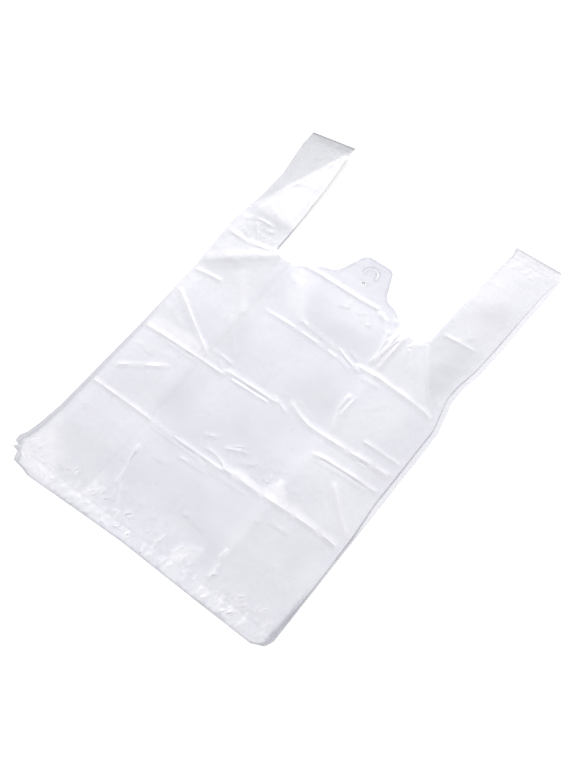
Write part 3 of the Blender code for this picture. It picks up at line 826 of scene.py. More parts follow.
@dataclass
class Lay:
    """Turns the flat layout into the bag as it lies."""

    sizes: BagSizes
    lie: Lie
    layout: Layout
    relief: Relief = field(default_factory=lambda: Relief(41))

    # Where handled film is crumpled: its least share, then the share that the gussets, the mouth
    # and the lower end add, each with the place that it starts from and its run.
    PLAIN_SHARE = 0.2
    OVER, MOUTH, LOW = (0.14, -10, 20), (0.1, 235, 50), (0.25, 70, -60)
    # The facets' heights and cells: broad ones, finer ones, those at the seals, and the waves.
    BROAD, FINE, CRIMPED, WAVES = (0.40, 21), (0.22, 8.5), (0.30, 5.5), (0.5, 38)
    # Where the seals' own facets fade in: the bottom's start and run, the handle tops' ones.
    AT_SEALS = ((34, -22), (374, 16))
    # How high a crease whitens the film fully, partly stress whitening and partly a painted
    # highlight along its crest.
    WHITE_AT = 0.8
    # How far open the plies are where they count as loose.
    LOOSE = 0.7
    # What the tab's front ply loses of its creases and of its waves.
    TAB_FLAT, TAB_CALM = 0.85, 0.6
    # A crease's least share at a seal, the run that it comes back over, its share when pinched.
    AT_SEAL, SEAL_RUN, PINCHED = 0.15, 4, 0.45

    def openness(self, up: Array) -> Array:
        """Returns how far apart the plies lie, from the seals' pinch to 1."""
        s = self.sizes
        level = np.ones_like(up)
        seals = ((s.seal_up, -1, s.seal_up), (s.handle_seal, 1, s.handle_seal_down))
        for seal, outward, skirt in seals:
            past = (up - seal) * outward > 0
            away = np.maximum(np.abs(up - seal) - s.seal_band, 0)
            reach = np.where(past, skirt, s.pinch_reach)
            top = np.where(past, s.skirt_pinch, 1.0)
            level = np.minimum(level, s.seal_pinch + (top - s.seal_pinch) * unit(away / reach))
        return level

    def pressed_edge(self, x: Array, up: Array) -> Array:
        """Returns how far apart the plies lie near the edges, where they press together."""
        s = self.sizes
        left = x < 0
        press = s.edge_press * np.where(left, 1, between(self.lie.right_press, up))
        side = press + (1 - press) * eased((s.half - np.abs(x)) / np.where(left, *s.edge_run))
        climb = unit(up, s.floor, s.length - s.floor)
        cut = s.half - s.handle_foot + (s.handle_foot - s.handle_top) * climb
        free = s.cut_press + (1 - s.cut_press) * eased((np.abs(x) - cut) / s.cut_run)
        handle = (x < s.handle_foot + 2 * s.corner - s.half) * eased(up, s.ridge_foot, 25)
        return side * (1 - handle * (1 - free))

    def squeezed(self, z: Array, level: Array) -> Array:
        """Returns heights once the gaps between plies shrink, with the film as thick as ever."""
        s = self.sizes
        number = np.floor(z / s.gap + 1e-6)
        within = np.maximum(z - number * s.gap, 0)
        return (
            number * (s.film + (s.gap - s.film) * level)
            + np.minimum(within, s.film)
            + np.maximum(within - s.film, 0) * level
        )

    def crease_whitening_and_highlight(self, x: Array, up: Array) -> Array:
        """Returns how far creasing whitens the film, from 0 to 1: partly stress whitening, partly
        a painted highlight.
        """
        share = lambda crease: min(crease.height / self.WHITE_AT, 1.0)
        return unit(highest([*PACKING, *STRAYS, *CRINKLES, *PUCKERS], x, up, share))

    def crumple(self, x: Array, up: Array) -> Array:
        """Returns the fine facets of handled film, stronger over gussets, handles and seals."""
        ridged = self.relief.ridged
        weight = self.PLAIN_SHARE
        starts = (np.abs(x) - self.sizes.gusset_line, up, up)
        for place, (share, start, run) in zip(starts, (self.OVER, self.MOUTH, self.LOW)):
            weight = weight + share * unit(place, start, run)
        facets = self.BROAD[0] * ridged(x, up, self.BROAD[1])
        facets += self.FINE[0] * ridged(up + 400, x, self.FINE[1])
        seal = sum(unit(up, *place) for place in self.AT_SEALS)
        crimped = self.CRIMPED[0] * seal * ridged(x + 900, up * 0.8, self.CRIMPED[1])
        wave = self.WAVES[0] * (0.9 + self.relief.plain(x, up * 1.3, self.WAVES[1]))
        return weight * facets + wave + crimped

    def billow(self, x: Array, up: Array) -> Array:
        """Returns how far the front panel arches up between packing folds."""
        s = self.sizes
        wave = np.sin(np.pi * (up - s.first_crease) / s.crease_spacing) ** 2
        return s.billow * wave * unit((s.half - np.abs(x)) / s.gusset) ** 0.5

    def tent(self, x: Array, up: Array) -> Array:
        """Returns how far the left handle is tented up, on two flat facets."""
        s = self.sizes
        top = self.layout.seal_rows(s.handle_seal)[0]
        climb = unit(up, s.ridge_foot, top - s.ridge_foot)
        share = np.minimum(climb, np.maximum(x + s.half, 0) / s.handle_top)
        return np.where(x > s.corner + s.handle_foot - s.half, 0.0, s.ridge_rise * share)

    def place(self, flat: Array) -> Array:
        """Returns where points of the flat layout lie, all in millimetres.

        Args:
            flat: Rows of distance across, height up the bag and height of the film.
        """
        s, lie = self.sizes, self.lie
        x, up, z = flat.T
        front = unit(z - s.film / 2, s.level(Ply.UPPER), s.gap - s.film)
        upper = unit(z - s.film / 2, s.level(Ply.LOWER), s.gap - s.film)
        openness = self.openness(up)
        loose = unit(openness, s.seal_pinch, self.LOOSE - s.seal_pinch)
        mouth = np.abs(x) < s.half - s.handle_foot - s.corner
        pressed = eased(up, s.press_from, s.tab_foot_up - s.press_from) * mouth
        tab = unit(up, s.shoulder_up, s.tab_foot_up - s.shoulder_up) * mouth
        smooth = 1 - self.TAB_FLAT * tab
        sag = s.sag + (s.level(Ply.FRONT) - s.tab_gap - s.sag) * pressed
        sag = sag * eased((s.gusset_line + s.gap / 2 - np.abs(x)) / s.sag_run)
        rise = self.billow(x, up) + self.crumple(x, up)
        rise = (rise * smooth * (1 - self.TAB_CALM * pressed) - sag) * loose
        seal = np.minimum(np.abs(up - s.seal_up), np.abs(up - s.handle_seal))
        free = eased(seal, s.seal_width / 2, self.SEAL_RUN)
        free = free * (self.PINCHED + (1 - self.PINCHED) * loose)
        free = self.AT_SEAL + (1 - self.AT_SEAL) * free
        height = lambda crease: crease.height
        rise += highest([*PACKING, *STRAYS, *CRINKLES], x, up, height) * smooth * free
        band = unit(np.abs(up - s.seal_up), s.seal_band, 2)
        rise += highest(PUCKERS, x, up, height) * band
        outward = unit(np.abs(x), s.gusset_line, s.gusset)
        right = x > 0
        stray = np.where(right, between(lie.right, up), between(lie.left, up))
        stray += np.where(right, between(lie.right_fan, up), between(lie.left_fan, up)) * upper
        tented = self.tent(x, up)
        skirt = between(lie.bottom, x) * unit(up, s.seal_up, -s.seal_up)
        return np.column_stack([
            x + stray * outward + s.ridge_lean[0] * tented,
            up + skirt + s.ridge_lean[1] * tented,
            self.squeezed(z, openness * self.pressed_edge(x, up)) + rise * front + tented,
        ])

    def row_frame(self, flat: Array) -> Array:
        """Returns placed points in the row frame, in metres."""
        return (self.place(flat) + (*LAYOUT_TO_ROW, 0.0)) * MM


class NodeKit:
    """Small helpers for building shader trees."""

    def __init__(self, material: bpy.types.Material) -> None:
        material.use_nodes = True
        self.tree = material.node_tree
        self.shader = self.tree.nodes["Principled BSDF"]

    def add(self, kind: str, **values: object) -> bpy.types.Node:
        """Adds a node and sets its properties."""
        node = self.tree.nodes.new(kind)
        for name, value in values.items():
            setattr(node, name, value)
        return node

    def link(self, source: Socket, target: Socket) -> None:
        """Links two sockets."""
        self.tree.links.new(source, target)

    def noise(self, scale: tuple, size: float) -> bpy.types.Node:
        """Adds noise on Object coordinates.

        Args:
            scale: How much the coordinates are stretched along each axis.
            size: The noise's scale.

        Returns:
            The noise node.
        """
        coordinates = self.add("ShaderNodeTexCoord")
        mapping = self.add("ShaderNodeMapping")
        mapping.inputs["Scale"].default_value = scale
        noise = self.add("ShaderNodeTexNoise")
        noise.inputs["Scale"].default_value = size
        noise.inputs["Detail"].default_value = 2.0
        self.link(coordinates.outputs["Object"], mapping.inputs["Vector"])
        self.link(mapping.outputs["Vector"], noise.inputs["Vector"])
        return noise

    def attribute(self, name: str) -> Socket:
        """Returns a mesh attribute's value."""
        return self.add("ShaderNodeAttribute", attribute_name=name).outputs["Fac"]

    def spread(self, source: Socket, low: float, high: float) -> Socket:
        """Returns a value from 0 to 1 mapped to another range."""
        node = self.add("ShaderNodeMapRange")
        node.inputs["To Min"].default_value = low
        node.inputs["To Max"].default_value = high
        self.link(source, node.inputs["Value"])
        return node.outputs["Result"]

    def sum(self, first: Socket, second: Socket) -> Socket:
        """Returns two values added together."""
        node = self.add("ShaderNodeMath", operation="ADD")
        self.link(first, node.inputs[0])
        self.link(second, node.inputs[1])
        return node.outputs["Value"]

    def blend(self, first: object, second: tuple, share: Socket) -> Socket:
        """Returns a colour mixed towards a second one by a share."""
        node = self.add("ShaderNodeMix", data_type="RGBA")
        if isinstance(first, Socket):
            self.link(first, node.inputs["A"])
        else:
            node.inputs["A"].default_value = (*first, 1.0)
        node.inputs["B"].default_value = (*second, 1.0)
        self.link(share, node.inputs["Factor"])
        return node.outputs["Result"]


@dataclass(frozen=True)
class FilmFinish:
    """Milky polyethylene film: its tone over one pair of plies and over gussets, with painted
    highlight, painted shade, edges darkened partly by painted shade, and a painted shadow in the
    pin hole.
    """

    name: str
    centre: tuple = (0.768, 0.766, 0.832)
    gusset: tuple = (0.818, 0.814, 0.868)
    # Darker edges at folds, hems and cut edges: partly the denser folded film, partly painted
    # shade.
    edge: tuple = (0.38, 0.38, 0.44)
    # Near black: a painted shadow inside the pin hole, and the dark line along the left handle's
    # top edge.
    deep: tuple = (0.13, 0.13, 0.15)
    glint: tuple = (0.96, 0.96, 0.985)
    shade: tuple = (0.57, 0.575, 0.605)
    roughness: tuple = (0.22, 0.34)
    alpha: float = 0.46
    bump_mm: float = 0.42
    milk: tuple = (0.90, 0.90, 0.94)
    milk_share: tuple = (-0.35, 0.60)
    dull: float = 0.25
    # The bump's bent facets (scale and height), how far they bend, and their edges' width.
    facets: tuple = ((62.0, 1.0), (135.0, 0.4))
    bend: tuple = (0.014, 0.014, 0.0)
    facet_edge: float = 0.28

    def crinkles(self, kit: NodeKit) -> Socket:
        """Returns the height of fine crinkles: bent facets with sharp edges, and low waves."""
        coordinates = kit.add("ShaderNodeTexCoord")
        drift = kit.noise((1, 1, 1), 60.0)
        bent = kit.add("ShaderNodeVectorMath", operation="MULTIPLY_ADD")
        bent.inputs[1].default_value = self.bend
        kit.link(drift.outputs["Color"], bent.inputs[0])
        kit.link(coordinates.outputs["Object"], bent.inputs[2])
        total = None
        for size, share in self.facets:
            facets = kit.add(
                "ShaderNodeTexVoronoi", feature="DISTANCE_TO_EDGE", voronoi_dimensions="2D")
            facets.inputs["Scale"].default_value = size
            kit.link(bent.outputs["Vector"], facets.inputs["Vector"])
            level = kit.add("ShaderNodeMapRange", interpolation_type="SMOOTHERSTEP")
            level.inputs["From Max"].default_value = self.facet_edge
            level.inputs["To Max"].default_value = -share
            kit.link(facets.outputs["Distance"], level.inputs["Value"])
            found = level.outputs["Result"]
            total = found if total is None else kit.sum(total, found)
        wave = kit.noise((1, 0.8, 1), 70.0)
        total = kit.sum(total, kit.spread(wave.outputs["Fac"], -0.5, 0.5))
        scaled = kit.add("ShaderNodeMath", operation="MULTIPLY")
        kit.link(total, scaled.inputs[0])
        kit.link(kit.attribute("crinkle"), scaled.inputs[1])
        return scaled.outputs["Value"]

    def material(self) -> bpy.types.Material:
        """Returns the film's material."""
        made = bpy.data.materials.new(self.name)
        kit = NodeKit(made)
        cloud = kit.noise((1, 1, 1), 18.0)
        colour = kit.blend(self.centre, self.gusset, kit.attribute("ply_tone"))
        milk = kit.spread(cloud.outputs["Fac"], *self.milk_share)
        colour = kit.blend(colour, self.milk, milk)
        # Blends in the painted highlight, the painted shade, the darker edges (partly painted
        # shade) and the near-black pin hole shadow and handle-top line.
        for tone in ("glint", "shade", "edge", "deep"):
            colour = kit.blend(colour, getattr(self, tone), kit.attribute(f"{tone}_tone"))
        kit.link(colour, kit.shader.inputs["Base Color"])
        fine = kit.noise((1, 0.7, 1), 120.0)
        dull = kit.spread(kit.attribute("shade_tone"), 0.0, self.dull)
        rough = kit.sum(kit.spread(fine.outputs["Fac"], *self.roughness), dull)
        kit.link(rough, kit.shader.inputs["Roughness"])
        bump = kit.add("ShaderNodeBump")
        bump.inputs["Distance"].default_value = self.bump_mm * MM
        bump.inputs["Strength"].default_value = 1.0
        kit.link(self.crinkles(kit), bump.inputs["Height"])
        kit.link(bump.outputs["Normal"], kit.shader.inputs["Normal"])
        kit.shader.inputs["Alpha"].default_value = self.alpha
        kit.shader.inputs["IOR"].default_value = 1.5
        return made


@dataclass(frozen=True)
class FloorFinish:
    """Plain white floor that shows white to the camera and keeps the bag's shadow."""

    name: str
    colour: tuple = (0.52, 0.52, 0.52)
    glow: float = 0.60

    def material(self) -> bpy.types.Material:
        """Returns the floor's material."""
        made = bpy.data.materials.new(self.name)
        kit = NodeKit(made)
        kit.shader.inputs["Base Color"].default_value = (*self.colour, 1.0)
        kit.shader.inputs["Roughness"].default_value = 1.0
        kit.shader.inputs["Specular IOR Level"].default_value = 0.0
        kit.shader.inputs["Emission Color"].default_value = (1.0, 1.0, 1.0, 1.0)
        path = kit.add("ShaderNodeLightPath")
        glow = kit.spread(path.outputs["Is Camera Ray"], 0.0, self.glow)
        kit.link(glow, kit.shader.inputs["Emission Strength"])
        return made


# How wide, in millimetres, and how dark the folded side edges are, by height up the bag; the
# darkness is partly the denser folded film and partly painted shade.
EDGE_LEFT = ((0, 2), (10, 4), (60, 3.2), (150, 2.4), (210, 1.4), (240, 0.8), (406, 0.8))
EDGE_RIGHT = (
    (0, 1.5), (8, 4.5), (35, 3.2), (60, 1.8), (100, 1.3), (200, 0.9), (240, 0.5), (406, 0.5),
)
EDGE_LEFT_TONE = ((0, 0.4), (30, 0.45), (120, 0.34), (200, 0.22), (406, 0.2))
EDGE_RIGHT_TONE = ((0, 0.55), (30, 0.6), (55, 0.15), (160, 0.08), (210, 0.04), (406, 0.04))


@dataclass(frozen=True)
class Tones:
    """How far the film's other tones go, from 0 to 1, and where: its painted highlight, painted
    shade and darker edges.
    """

    # The hems and how wide they are, the cut edges, whose darkness is partly painted shade, the
    # left handle's top edge line, the seals.
    hem: float = 0.6
    hem_width: float = 1.3
    rim: float = 0.4
    rim_width: float = 0.6
    tip: float = 0.7
    seal_line: float = 0.05
    # Whitened creases, partly stress whitening and partly painted highlight: plainly, and what the
    # lower end adds.
    crease: tuple = (0.52, 0.4)
    # Painted highlight clouds at the lower end, for the glints of its crumples: their share,
    # level, spread and cell.
    cloud: tuple = (0.22, 0.6, 0.9, 14)
    # Where the lower end starts and its run, in millimetres.
    low: tuple = (28, -18)
    # A painted highlight rim around the pin hole.
    pin_rim: float = 0.8
    # The bump: everywhere, at the lower end, at the handle tops and at the left handle's foot.
    bump: tuple = (0.06, 0.45, 0.35, 0.18)
    bump_cell: float = 40
    # How much a painted highlight or shade patch's tone varies, and the cell that it varies by.
    facet: tuple = (0.35, 13)


def linked(name: str, data: bpy.types.ID) -> bpy.types.Object:
    """Returns a new object of the scene that holds a mesh, a light or a camera."""
    made = bpy.data.objects.new(name, data)
    bpy.context.scene.collection.objects.link(made)
    return made


def made_plain(piece: bpy.types.Object) -> bpy.types.Mesh:
    """Returns a piece's mesh once its modifiers are applied to it."""
    bpy.context.view_layer.update()
    graph = bpy.context.evaluated_depsgraph_get()
    plain = bpy.data.meshes.new_from_object(piece.evaluated_get(graph))
    piece.modifiers.clear()
    piece.data = plain
    return plain


@dataclass
class FilmShell:
    """The whole bag as one shell of film.

    Args:
        layout: The flat layout.
        lay: How it comes to lie.
        finish: The film's finish.
        levels: How far its tones go.
        front_pitch: How far apart the front ply's plain points are, in millimetres.
        pitches: The same for the back ply and the plies between.
    """

    layout: Layout
    lay: Lay
    finish: FilmFinish
    levels: Tones = Tones()
    front_pitch: float = 2.05
    pitches: tuple = (9.0, 6.0)

    # The pin hole in the back ply is a share of the front's, so that the painted shadow around it
    # shows through the front's hole.
    BACK_PIN = 0.4
    # The bottom edge's parts, the steps along creases and along crinkles, and how far inside
    # the side folds a line of points runs.
    BOTTOM_PARTS, CREASE_STEP, CRINKLE_STEP, HEM = 108, 2.0, 1.7, 0.9
    # The angle, in degrees, from which an edge is sharp.
    SHARP = 24

    def surface(self) -> Surface:
        """Returns the open, flat sheet with every ply, fold and cut."""
        s, layout = self.layout.sizes, self.layout
        rows, half, panel = layout.rows(), layout.mouth_half(), s.panel_half
        inner, top_in = s.gusset_line + s.gap / 2, s.half - s.handle_top
        inner_top = layout.mouth_height(inner)
        inner_rows = np.append(rows[rows < inner_top - 1], inner_top)
        top, low_rows = layout.seal_rows(s.handle_seal), layout.seal_rows(s.seal_up)
        foot = (-panel, s.ridge_foot)
        tent = [
            straight(foot, (1 + s.handle_foot - s.half, s.ridge_foot)),
            straight(foot, (-top_in, top[0])),
        ]
        left_band = [straight((-panel, row), (-top_in, row)) for row in top]
        right_band = [mirrored(line) for line in left_band]
        low = [straight((-panel, row), (panel, row)) for row in low_rows]
        bottom = [(x, 0.0) for x in np.linspace(-panel, panel, self.BOTTOM_PARTS + 1)[1:-1]]
        outline = np.vstack([
            bottom, upright(panel, rows), half, mirrored(half), upright(-panel, rows[::-1]),
        ])
        creases = [line for crease in PACKING + STRAYS for line in crease.lines(self.CREASE_STEP)]
        creases += [line for crease in CRINKLES for line in crease.lines(self.CRINKLE_STEP)]
        shoulder = [
            upright(side * x, inner_rows[:-1])
            for side in (-1, 1) for x in (inner, inner - s.sag_run / 2, inner - s.sag_run)
        ]
        hems = [upright(side * (panel - self.HEM), rows[1:-1]) for side in (-1, 1)]
        lines = tent + left_band + right_band + low
        back_holes = [layout.slit(), layout.pin(self.BACK_PIN)]
        holes = [layout.slit(), layout.pin()]
        made = Surface(layout)
        made.ply(outline, Ply.BACK, lines + hems, back_holes, self.pitches[0])
        lines += creases + shoulder + hems
        made.ply(outline, Ply.FRONT, lines, holes, self.front_pitch)
        for side in (-1, 1):
            outline = np.vstack([
                upright(panel, rows), half[half[:, 0] > inner + 0.5],
                upright(inner, inner_rows[::-1]),
            ])
            lines = [straight((inner, row), (panel, row)) for row in low_rows]
            lines += right_band + hems[1:]
            if side < 0:
                outline = mirrored(outline)
                lines = [mirrored(line) for line in lines] + tent
            for ply in (Ply.LOWER, Ply.UPPER):
                made.ply(outline, ply, lines, [], self.pitches[1])
        for side in (-1, 1):
            made.fold(side, side * panel, Ply.BACK, rows)
            made.fold(-side, side * inner, Ply.LOWER, inner_rows)
            made.fold(side, side * panel, Ply.UPPER, rows)
        return made

    def edge_tone(self, x: Array, up: Array, pin: Array) -> Array:
        """Returns how dark folds, hems and cut edges are, partly denser film and partly painted
        shade, given how far the pin hole is.
        """
        s, layout, left = self.layout.sizes, self.layout, x < 0
        wide = np.where(left, between(EDGE_LEFT, up), between(EDGE_RIGHT, up))
        dark = np.where(left, between(EDGE_LEFT_TONE, up), between(EDGE_RIGHT_TONE, up))
        fold = dark * eased((wide - s.half + np.abs(x)) / 1.2)
        hem = np.maximum(unit(up, 1.2, -1.2), unit(up, s.length - self.levels.hem_width))
        rims = [layout.mouth_half(), layout.slit(), layout.pin()]
        clear = clear_of(np.column_stack([np.abs(x), up]), rims, self.levels.rim_width)
        clear |= (pin < s.pin_radius + 1.5) | ((x < -s.half / 2) & (up > s.ridge_foot - 20))
        return np.maximum.reduce([fold, self.levels.hem * hem, self.levels.rim * ~clear])

    def handle_tones(self, x: Array, up: Array) -> tuple:
        """Returns the painted highlight and the painted shade on the two facets of the tented left
        handle.
        """
        s = self.layout.sizes
        climb = (up - s.ridge_foot) / (self.layout.seal_rows(s.handle_seal)[0] - s.ridge_foot)
        lean = climb - (x + s.half) / s.handle_top
        handle = (x < -s.half / 2) & (up > s.ridge_foot - 6)
        glint = handle * eased(lean / -0.10) * eased(up, s.ridge_foot + 4, 8)
        return glint, handle * eased(lean / 0.12) * unit(0.45 + 0.5 * climb)

    def tones(self, flat: Array) -> dict:
        """Returns how far each point of the flat layout takes on the finish's other tones: painted
        highlight, painted shade, darker edges and the pin hole's painted shadow.
        """
        s, levels, noise = self.layout.sizes, self.levels, self.lay.relief.plain
        x, up, z = flat.T
        pin = np.hypot(x, up - s.pin_up)
        # The back ply around the pin hole is painted near black, a painted shadow inside the hole.
        through = (pin < s.pin_radius + 0.3) & (z < s.gap)
        over = eased((np.abs(x) - s.gusset_line + 14 + 9 * noise(x, up, 31)) / 26)
        glint, shade = self.handle_tones(x, up)
        # The welded seals' own slightly darker line, carried in the shade tone.
        for seal in (s.seal_up, s.handle_seal):
            line = np.abs(up - seal) < 0.6 * s.seal_width
            shade = np.maximum(shade, levels.seal_line * line)
        low = eased(up, *levels.low)
        plain, lower, tops, foot = levels.bump
        bump = plain + lower * low + tops * eased(up, 380, 8)
        bump += foot * eased(-x, 78, 8) * eased(up, 268, 8) * eased(up, 314, -8)
        bump *= (0.75 + 0.5 * noise(x, up, levels.bump_cell)) * (1 - 0.6 * shade)
        # Painted highlight clouds over the lower end.
        share, level, spread, cell = levels.cloud
        cloud = share * low * unit(level + spread * noise(x + 500, up, cell))
        # Crests whitened, partly as stress whitening and partly as a painted highlight, on the
        # front ply only.
        white = (levels.crease[0] + levels.crease[1] * low) * self.lay.crease_whitening_and_highlight(x, up)
        # A painted highlight rim on the front ply around the pin hole.
        rim = levels.pin_rim * (pin < s.pin_radius + 1.2) * ~through
        glint = np.maximum.reduce([glint, cloud, white * (z > 2.5 * s.gap), rim])
        # Painted highlight and painted shade patches.
        for facet in LIGHT_AND_SHADE_PATCHES:
            tone = facet.share(x, up) * (1 + levels.facet[0] * noise(x - 300, up, levels.facet[1]))
            glint, shade = np.maximum(glint, tone), np.maximum(shade, -tone)
        tip = (x < s.handle_top - s.half) & (up > s.length - levels.hem_width)
        return {
            "edge_tone": self.edge_tone(x, up, pin),
            "deep_tone": np.maximum(1.0 * through, levels.tip * tip),
            "crinkle": unit(bump),
            "ply_tone": over,
            "glint_tone": unit(glint),
            "shade_tone": unit(shade),
        }

    def build(self) -> bpy.types.Object:
        """Returns the finished film, laid out and riding on the frame."""
        film = linked("film", self.surface().mesh("film"))
        thick = film.modifiers.new("thickness", "SOLIDIFY")
        thick.thickness = self.layout.sizes.film * MM
        thick.offset = 0.0
        solid = made_plain(film)
        flat = np.empty(len(solid.vertices) * 3, np.float32)
        solid.vertices.foreach_get("co", flat)
        flat = flat.reshape(-1, 3).astype(float) / MM
        placed = self.lay.row_frame(flat)
        solid.vertices.foreach_set("co", placed.astype(np.float32).reshape(-1))
        for name, values in self.tones(flat).items():
            tone = solid.attributes.new(name, "FLOAT", "POINT")
            tone.data.foreach_set("value", values.astype(np.float32))
        solid.materials.clear()
        solid.materials.append(self.finish.material())
        solid.update()
        solid.shade_smooth()
        solid.set_sharp_from_angle(angle=math.radians(self.SHARP))
        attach(film, BODY)
        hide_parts(CAD_NODE)
        log.info("film: %d vertices, %d faces", len(solid.vertices), len(solid.polygons))
        return film


@dataclass
class SealCrimps:
    """The ribs that a heated bar presses into a seal, repeated along it by Geometry Nodes.

    Args:
        name: The piece's name.
        path: Points along the seal on the film's upper face, in the row frame and metres.
        material: The film's own material.
        spacing_mm: How far apart the ribs are.
        half_mm: Half a rib's width, length and height.
        seed: What the ribs' small differences start from.
    """

    name: str
    path: Array
    material: bpy.types.Material
    spacing_mm: float = 1.3
    half_mm: tuple = (0.22, 1.1, 0.035)
    seed: int = 3

    # The ribs' smallest and largest size.
    VARY = (0.7, 1.1)
    NODES = {
        "given": "NodeGroupInput",
        "made": "NodeGroupOutput",
        "curve": "GeometryNodeMeshToCurve",
        "spaced": "GeometryNodeResampleCurve",
        "rib": "GeometryNodeMeshUVSphere",
        "shaped": "GeometryNodeTransform",
        "tangent": "GeometryNodeInputTangent",
        "turned": "FunctionNodeAlignRotationToVector",
        "vary": "FunctionNodeRandomValue",
        "placed": "GeometryNodeInstanceOnPoints",
        "real": "GeometryNodeRealizeInstances",
        "coated": "GeometryNodeSetMaterial",
    }
    LINKS = (
        ("given", "Path", "curve", "Mesh"),
        ("curve", "Curve", "spaced", "Curve"),
        ("given", "Spacing", "spaced", "Length"),
        ("rib", "Mesh", "shaped", "Geometry"),
        ("given", "Rib Size", "shaped", "Scale"),
        ("tangent", "Tangent", "turned", "Vector"),
        ("given", "Seed", "vary", "Seed"),
        ("spaced", "Curve", "placed", "Points"),
        ("shaped", "Geometry", "placed", "Instance"),
        ("turned", "Rotation", "placed", "Rotation"),
        ("vary", 1, "placed", "Scale"),
        ("placed", "Instances", "real", "Geometry"),
        ("real", "Geometry", "coated", "Geometry"),
        ("given", "Material", "coated", "Material"),
        ("coated", "Geometry", "made", "Ribs"),
    )

    def tree(self) -> bpy.types.NodeTree:
        """Returns the node tree: path to curve, ribs along it, made real, with their material."""
        tree = bpy.data.node_groups.new(f"{self.name}_ribs", "GeometryNodeTree")
        given = {
            "Path": "Geometry", "Spacing": "Float", "Rib Size": "Vector", "Seed": "Int",
            "Material": "Material",
        }
        for name, kind in given.items():
            tree.interface.new_socket(name, in_out="INPUT", socket_type=f"NodeSocket{kind}")
        tree.interface.new_socket("Ribs", in_out="OUTPUT", socket_type="NodeSocketGeometry")
        nodes = {name: tree.nodes.new(kind) for name, kind in self.NODES.items()}
        nodes["spaced"].mode = "LENGTH"
        nodes["turned"].axis = "X"
        nodes["vary"].data_type = "FLOAT"
        nodes["vary"].inputs[2].default_value, nodes["vary"].inputs[3].default_value = self.VARY
        for name, value in (("Segments", 8), ("Rings", 4), ("Radius", 1.0)):
            nodes["rib"].inputs[name].default_value = value
        for source, output, target, entry in self.LINKS:
            tree.links.new(nodes[source].outputs[output], nodes[target].inputs[entry])
        return tree

    def build(self) -> bpy.types.Object:
        """Returns the ribs as one plain mesh that rides on the frame."""
        mesh = bpy.data.meshes.new(self.name)
        steps = [(at, at + 1) for at in range(len(self.path) - 1)]
        mesh.from_pydata(self.path.tolist(), steps, [])
        ribs, tree = linked(self.name, mesh), self.tree()
        nodes = ribs.modifiers.new("ribs", "NODES")
        nodes.node_group = tree
        values = {
            "Spacing": self.spacing_mm * MM,
            "Rib Size": tuple(size * MM for size in self.half_mm),
            "Seed": self.seed,
            "Material": self.material,
        }
        for item in tree.interface.items_tree:
            if item.name in values and item.in_out == "INPUT":
                nodes[item.identifier] = values[item.name]
        plain = made_plain(ribs)
        plain.shade_smooth()
        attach(ribs, BODY)
        log.info("%s: %d faces", self.name, len(plain.polygons))
        return ribs


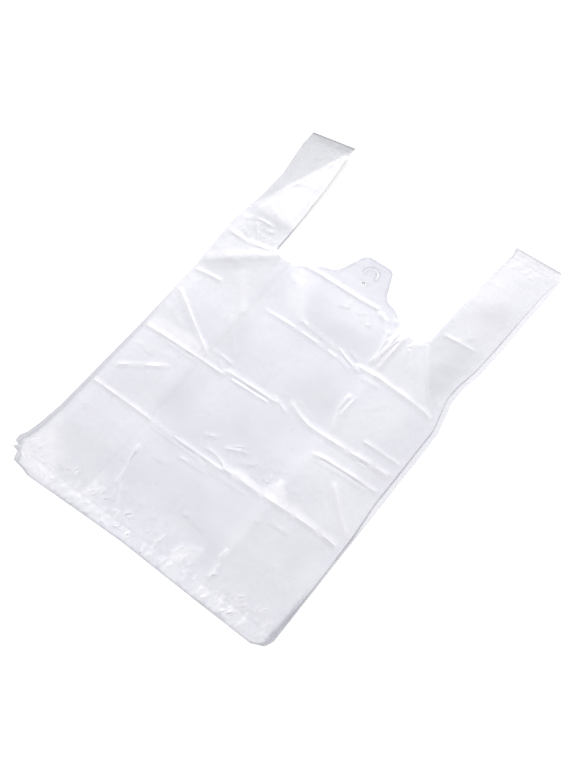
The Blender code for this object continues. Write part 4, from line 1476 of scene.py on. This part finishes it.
@dataclass
class Studio:
    """The floor, the light and the camera.

    Args:
        floor: The floor's finish.
        camera_at: The camera's place in the row frame, in metres.
        forward: Where it looks.
        up: Which way is up in the picture.
        lens_mm: Its focal length.
        sensor_mm: Its sensor's longer side.
        floor_drop: How far the floor lies under the bag, in metres.
        bounces: How many layers of film the light passes through.
        world_level: How bright the surround is.
        lamps: Each softbox's name, place and two sides in metres, and power in watts.
    """

    floor: FloorFinish
    camera_at: tuple = (0.32629, -0.36824, 0.85710)
    forward: tuple = (-0.32370, 0.35839, -0.87566)
    up: tuple = (-0.52064, 0.70530, 0.48113)
    lens_mm: float = 56.6
    sensor_mm: float = 36.0
    floor_drop: float = 0.0002
    bounces: int = 24
    world_level: float = 0.60
    lamps: tuple = (
        ("far_softbox", (-1.45, 2.40, 1.60), (2.2, 1.0), 128.0),
        ("top_softbox", (0.6, -0.4, 2.6), (1.2, 1.2), 20.0),
    )

    def add_floor(self) -> None:
        """Adds the white floor just under the bag."""
        mesh = bpy.data.meshes.new("floor")
        mesh.from_pydata([(-3, -3, 0), (3, -3, 0), (3, 3, 0), (-3, 3, 0)], [], [(0, 1, 2, 3)])
        mesh.materials.append(self.floor.material())
        floor = linked("floor", mesh)
        floor.location.z = -self.floor_drop
        floor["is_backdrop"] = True

    def add_light(self, name: str, at: tuple, size: tuple, power: float) -> None:
        """Adds a softbox that faces the bag.

        Args:
            name: Its name.
            at: Its place, in metres.
            size: Its two sides, in metres.
            power: Its power, in watts.
        """
        data = bpy.data.lights.new(name, "AREA")
        data.shape = "RECTANGLE"
        data.size, data.size_y = size
        data.energy = power
        lamp = linked(name, data)
        lamp.location = at
        lamp.rotation_euler = (-Vector(at)).to_track_quat("-Z", "Y").to_euler()
        log.info("light %s: %.1f W", name, power)

    def add_world(self) -> None:
        """Adds an even white surround."""
        world = bpy.data.worlds.new("surround")
        world.use_nodes = True
        background = world.node_tree.nodes["Background"]
        background.inputs["Color"].default_value = (1.0, 1.0, 1.0, 1.0)
        background.inputs["Strength"].default_value = self.world_level
        bpy.context.scene.world = world

    def add_camera(self) -> None:
        """Adds the camera where the photograph was taken from."""
        data = bpy.data.cameras.new("camera")
        data.sensor_width = self.sensor_mm
        data.sensor_fit = "AUTO"
        data.lens = self.lens_mm
        camera = linked("camera", data)
        back = -Vector(self.forward).normalized()
        up = Vector(self.up)
        right = up.cross(back).normalized()
        up = back.cross(right).normalized()
        turn = Matrix((right, up, back)).transposed()
        camera.matrix_world = Matrix.Translation(self.camera_at) @ turn.to_4x4()
        bpy.context.scene.camera = camera

    def build(self) -> None:
        """Sets the whole studio up."""
        self.add_floor()
        self.add_world()
        for lamp in self.lamps:
            self.add_light(*lamp)
        self.add_camera()
        bpy.context.scene.view_settings.view_transform = "Standard"
        bpy.context.scene.cycles.transparent_max_bounces = self.bounces


def main() -> None:
    """Builds the bag and its studio, and notes both boxes."""
    cad_box = [list(corner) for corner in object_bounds()]
    layout = Layout(BagSizes())
    lay = Lay(layout.sizes, Lie(), layout)
    film = FilmShell(layout, lay, FilmFinish("milky_film")).build()
    sizes = layout.sizes
    top, room = sizes.level(Ply.FRONT) + sizes.film / 2, 1.0
    inner, outer = sizes.half - sizes.handle_top + room, sizes.panel_half - room
    seals = (
        ("bottom_seal_ribs", -outer, outer, sizes.seal_up),
        ("left_handle_ribs", -outer, -inner, sizes.handle_seal),
        ("right_handle_ribs", inner, outer, sizes.handle_seal),
    )
    for name, start, end, seal in seals:
        across = np.arange(start, end, 1.0)
        flat = np.column_stack([across, np.full(len(across), seal), np.full(len(across), top)])
        SealCrimps(name, lay.row_frame(flat), film.data.materials[0]).build()
    Studio(FloorFinish("white_floor")).build()
    bpy.context.view_layer.update()
    seen_box = [list(corner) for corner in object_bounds()]
    for name, box in (("cad", cad_box), ("visual", seen_box)):
        rounded = [[round(value / MM, 1) for value in corner] for corner in box]
        log.info("%s box in mm: %s", name, rounded)


if __name__ == "__main__":
    main()
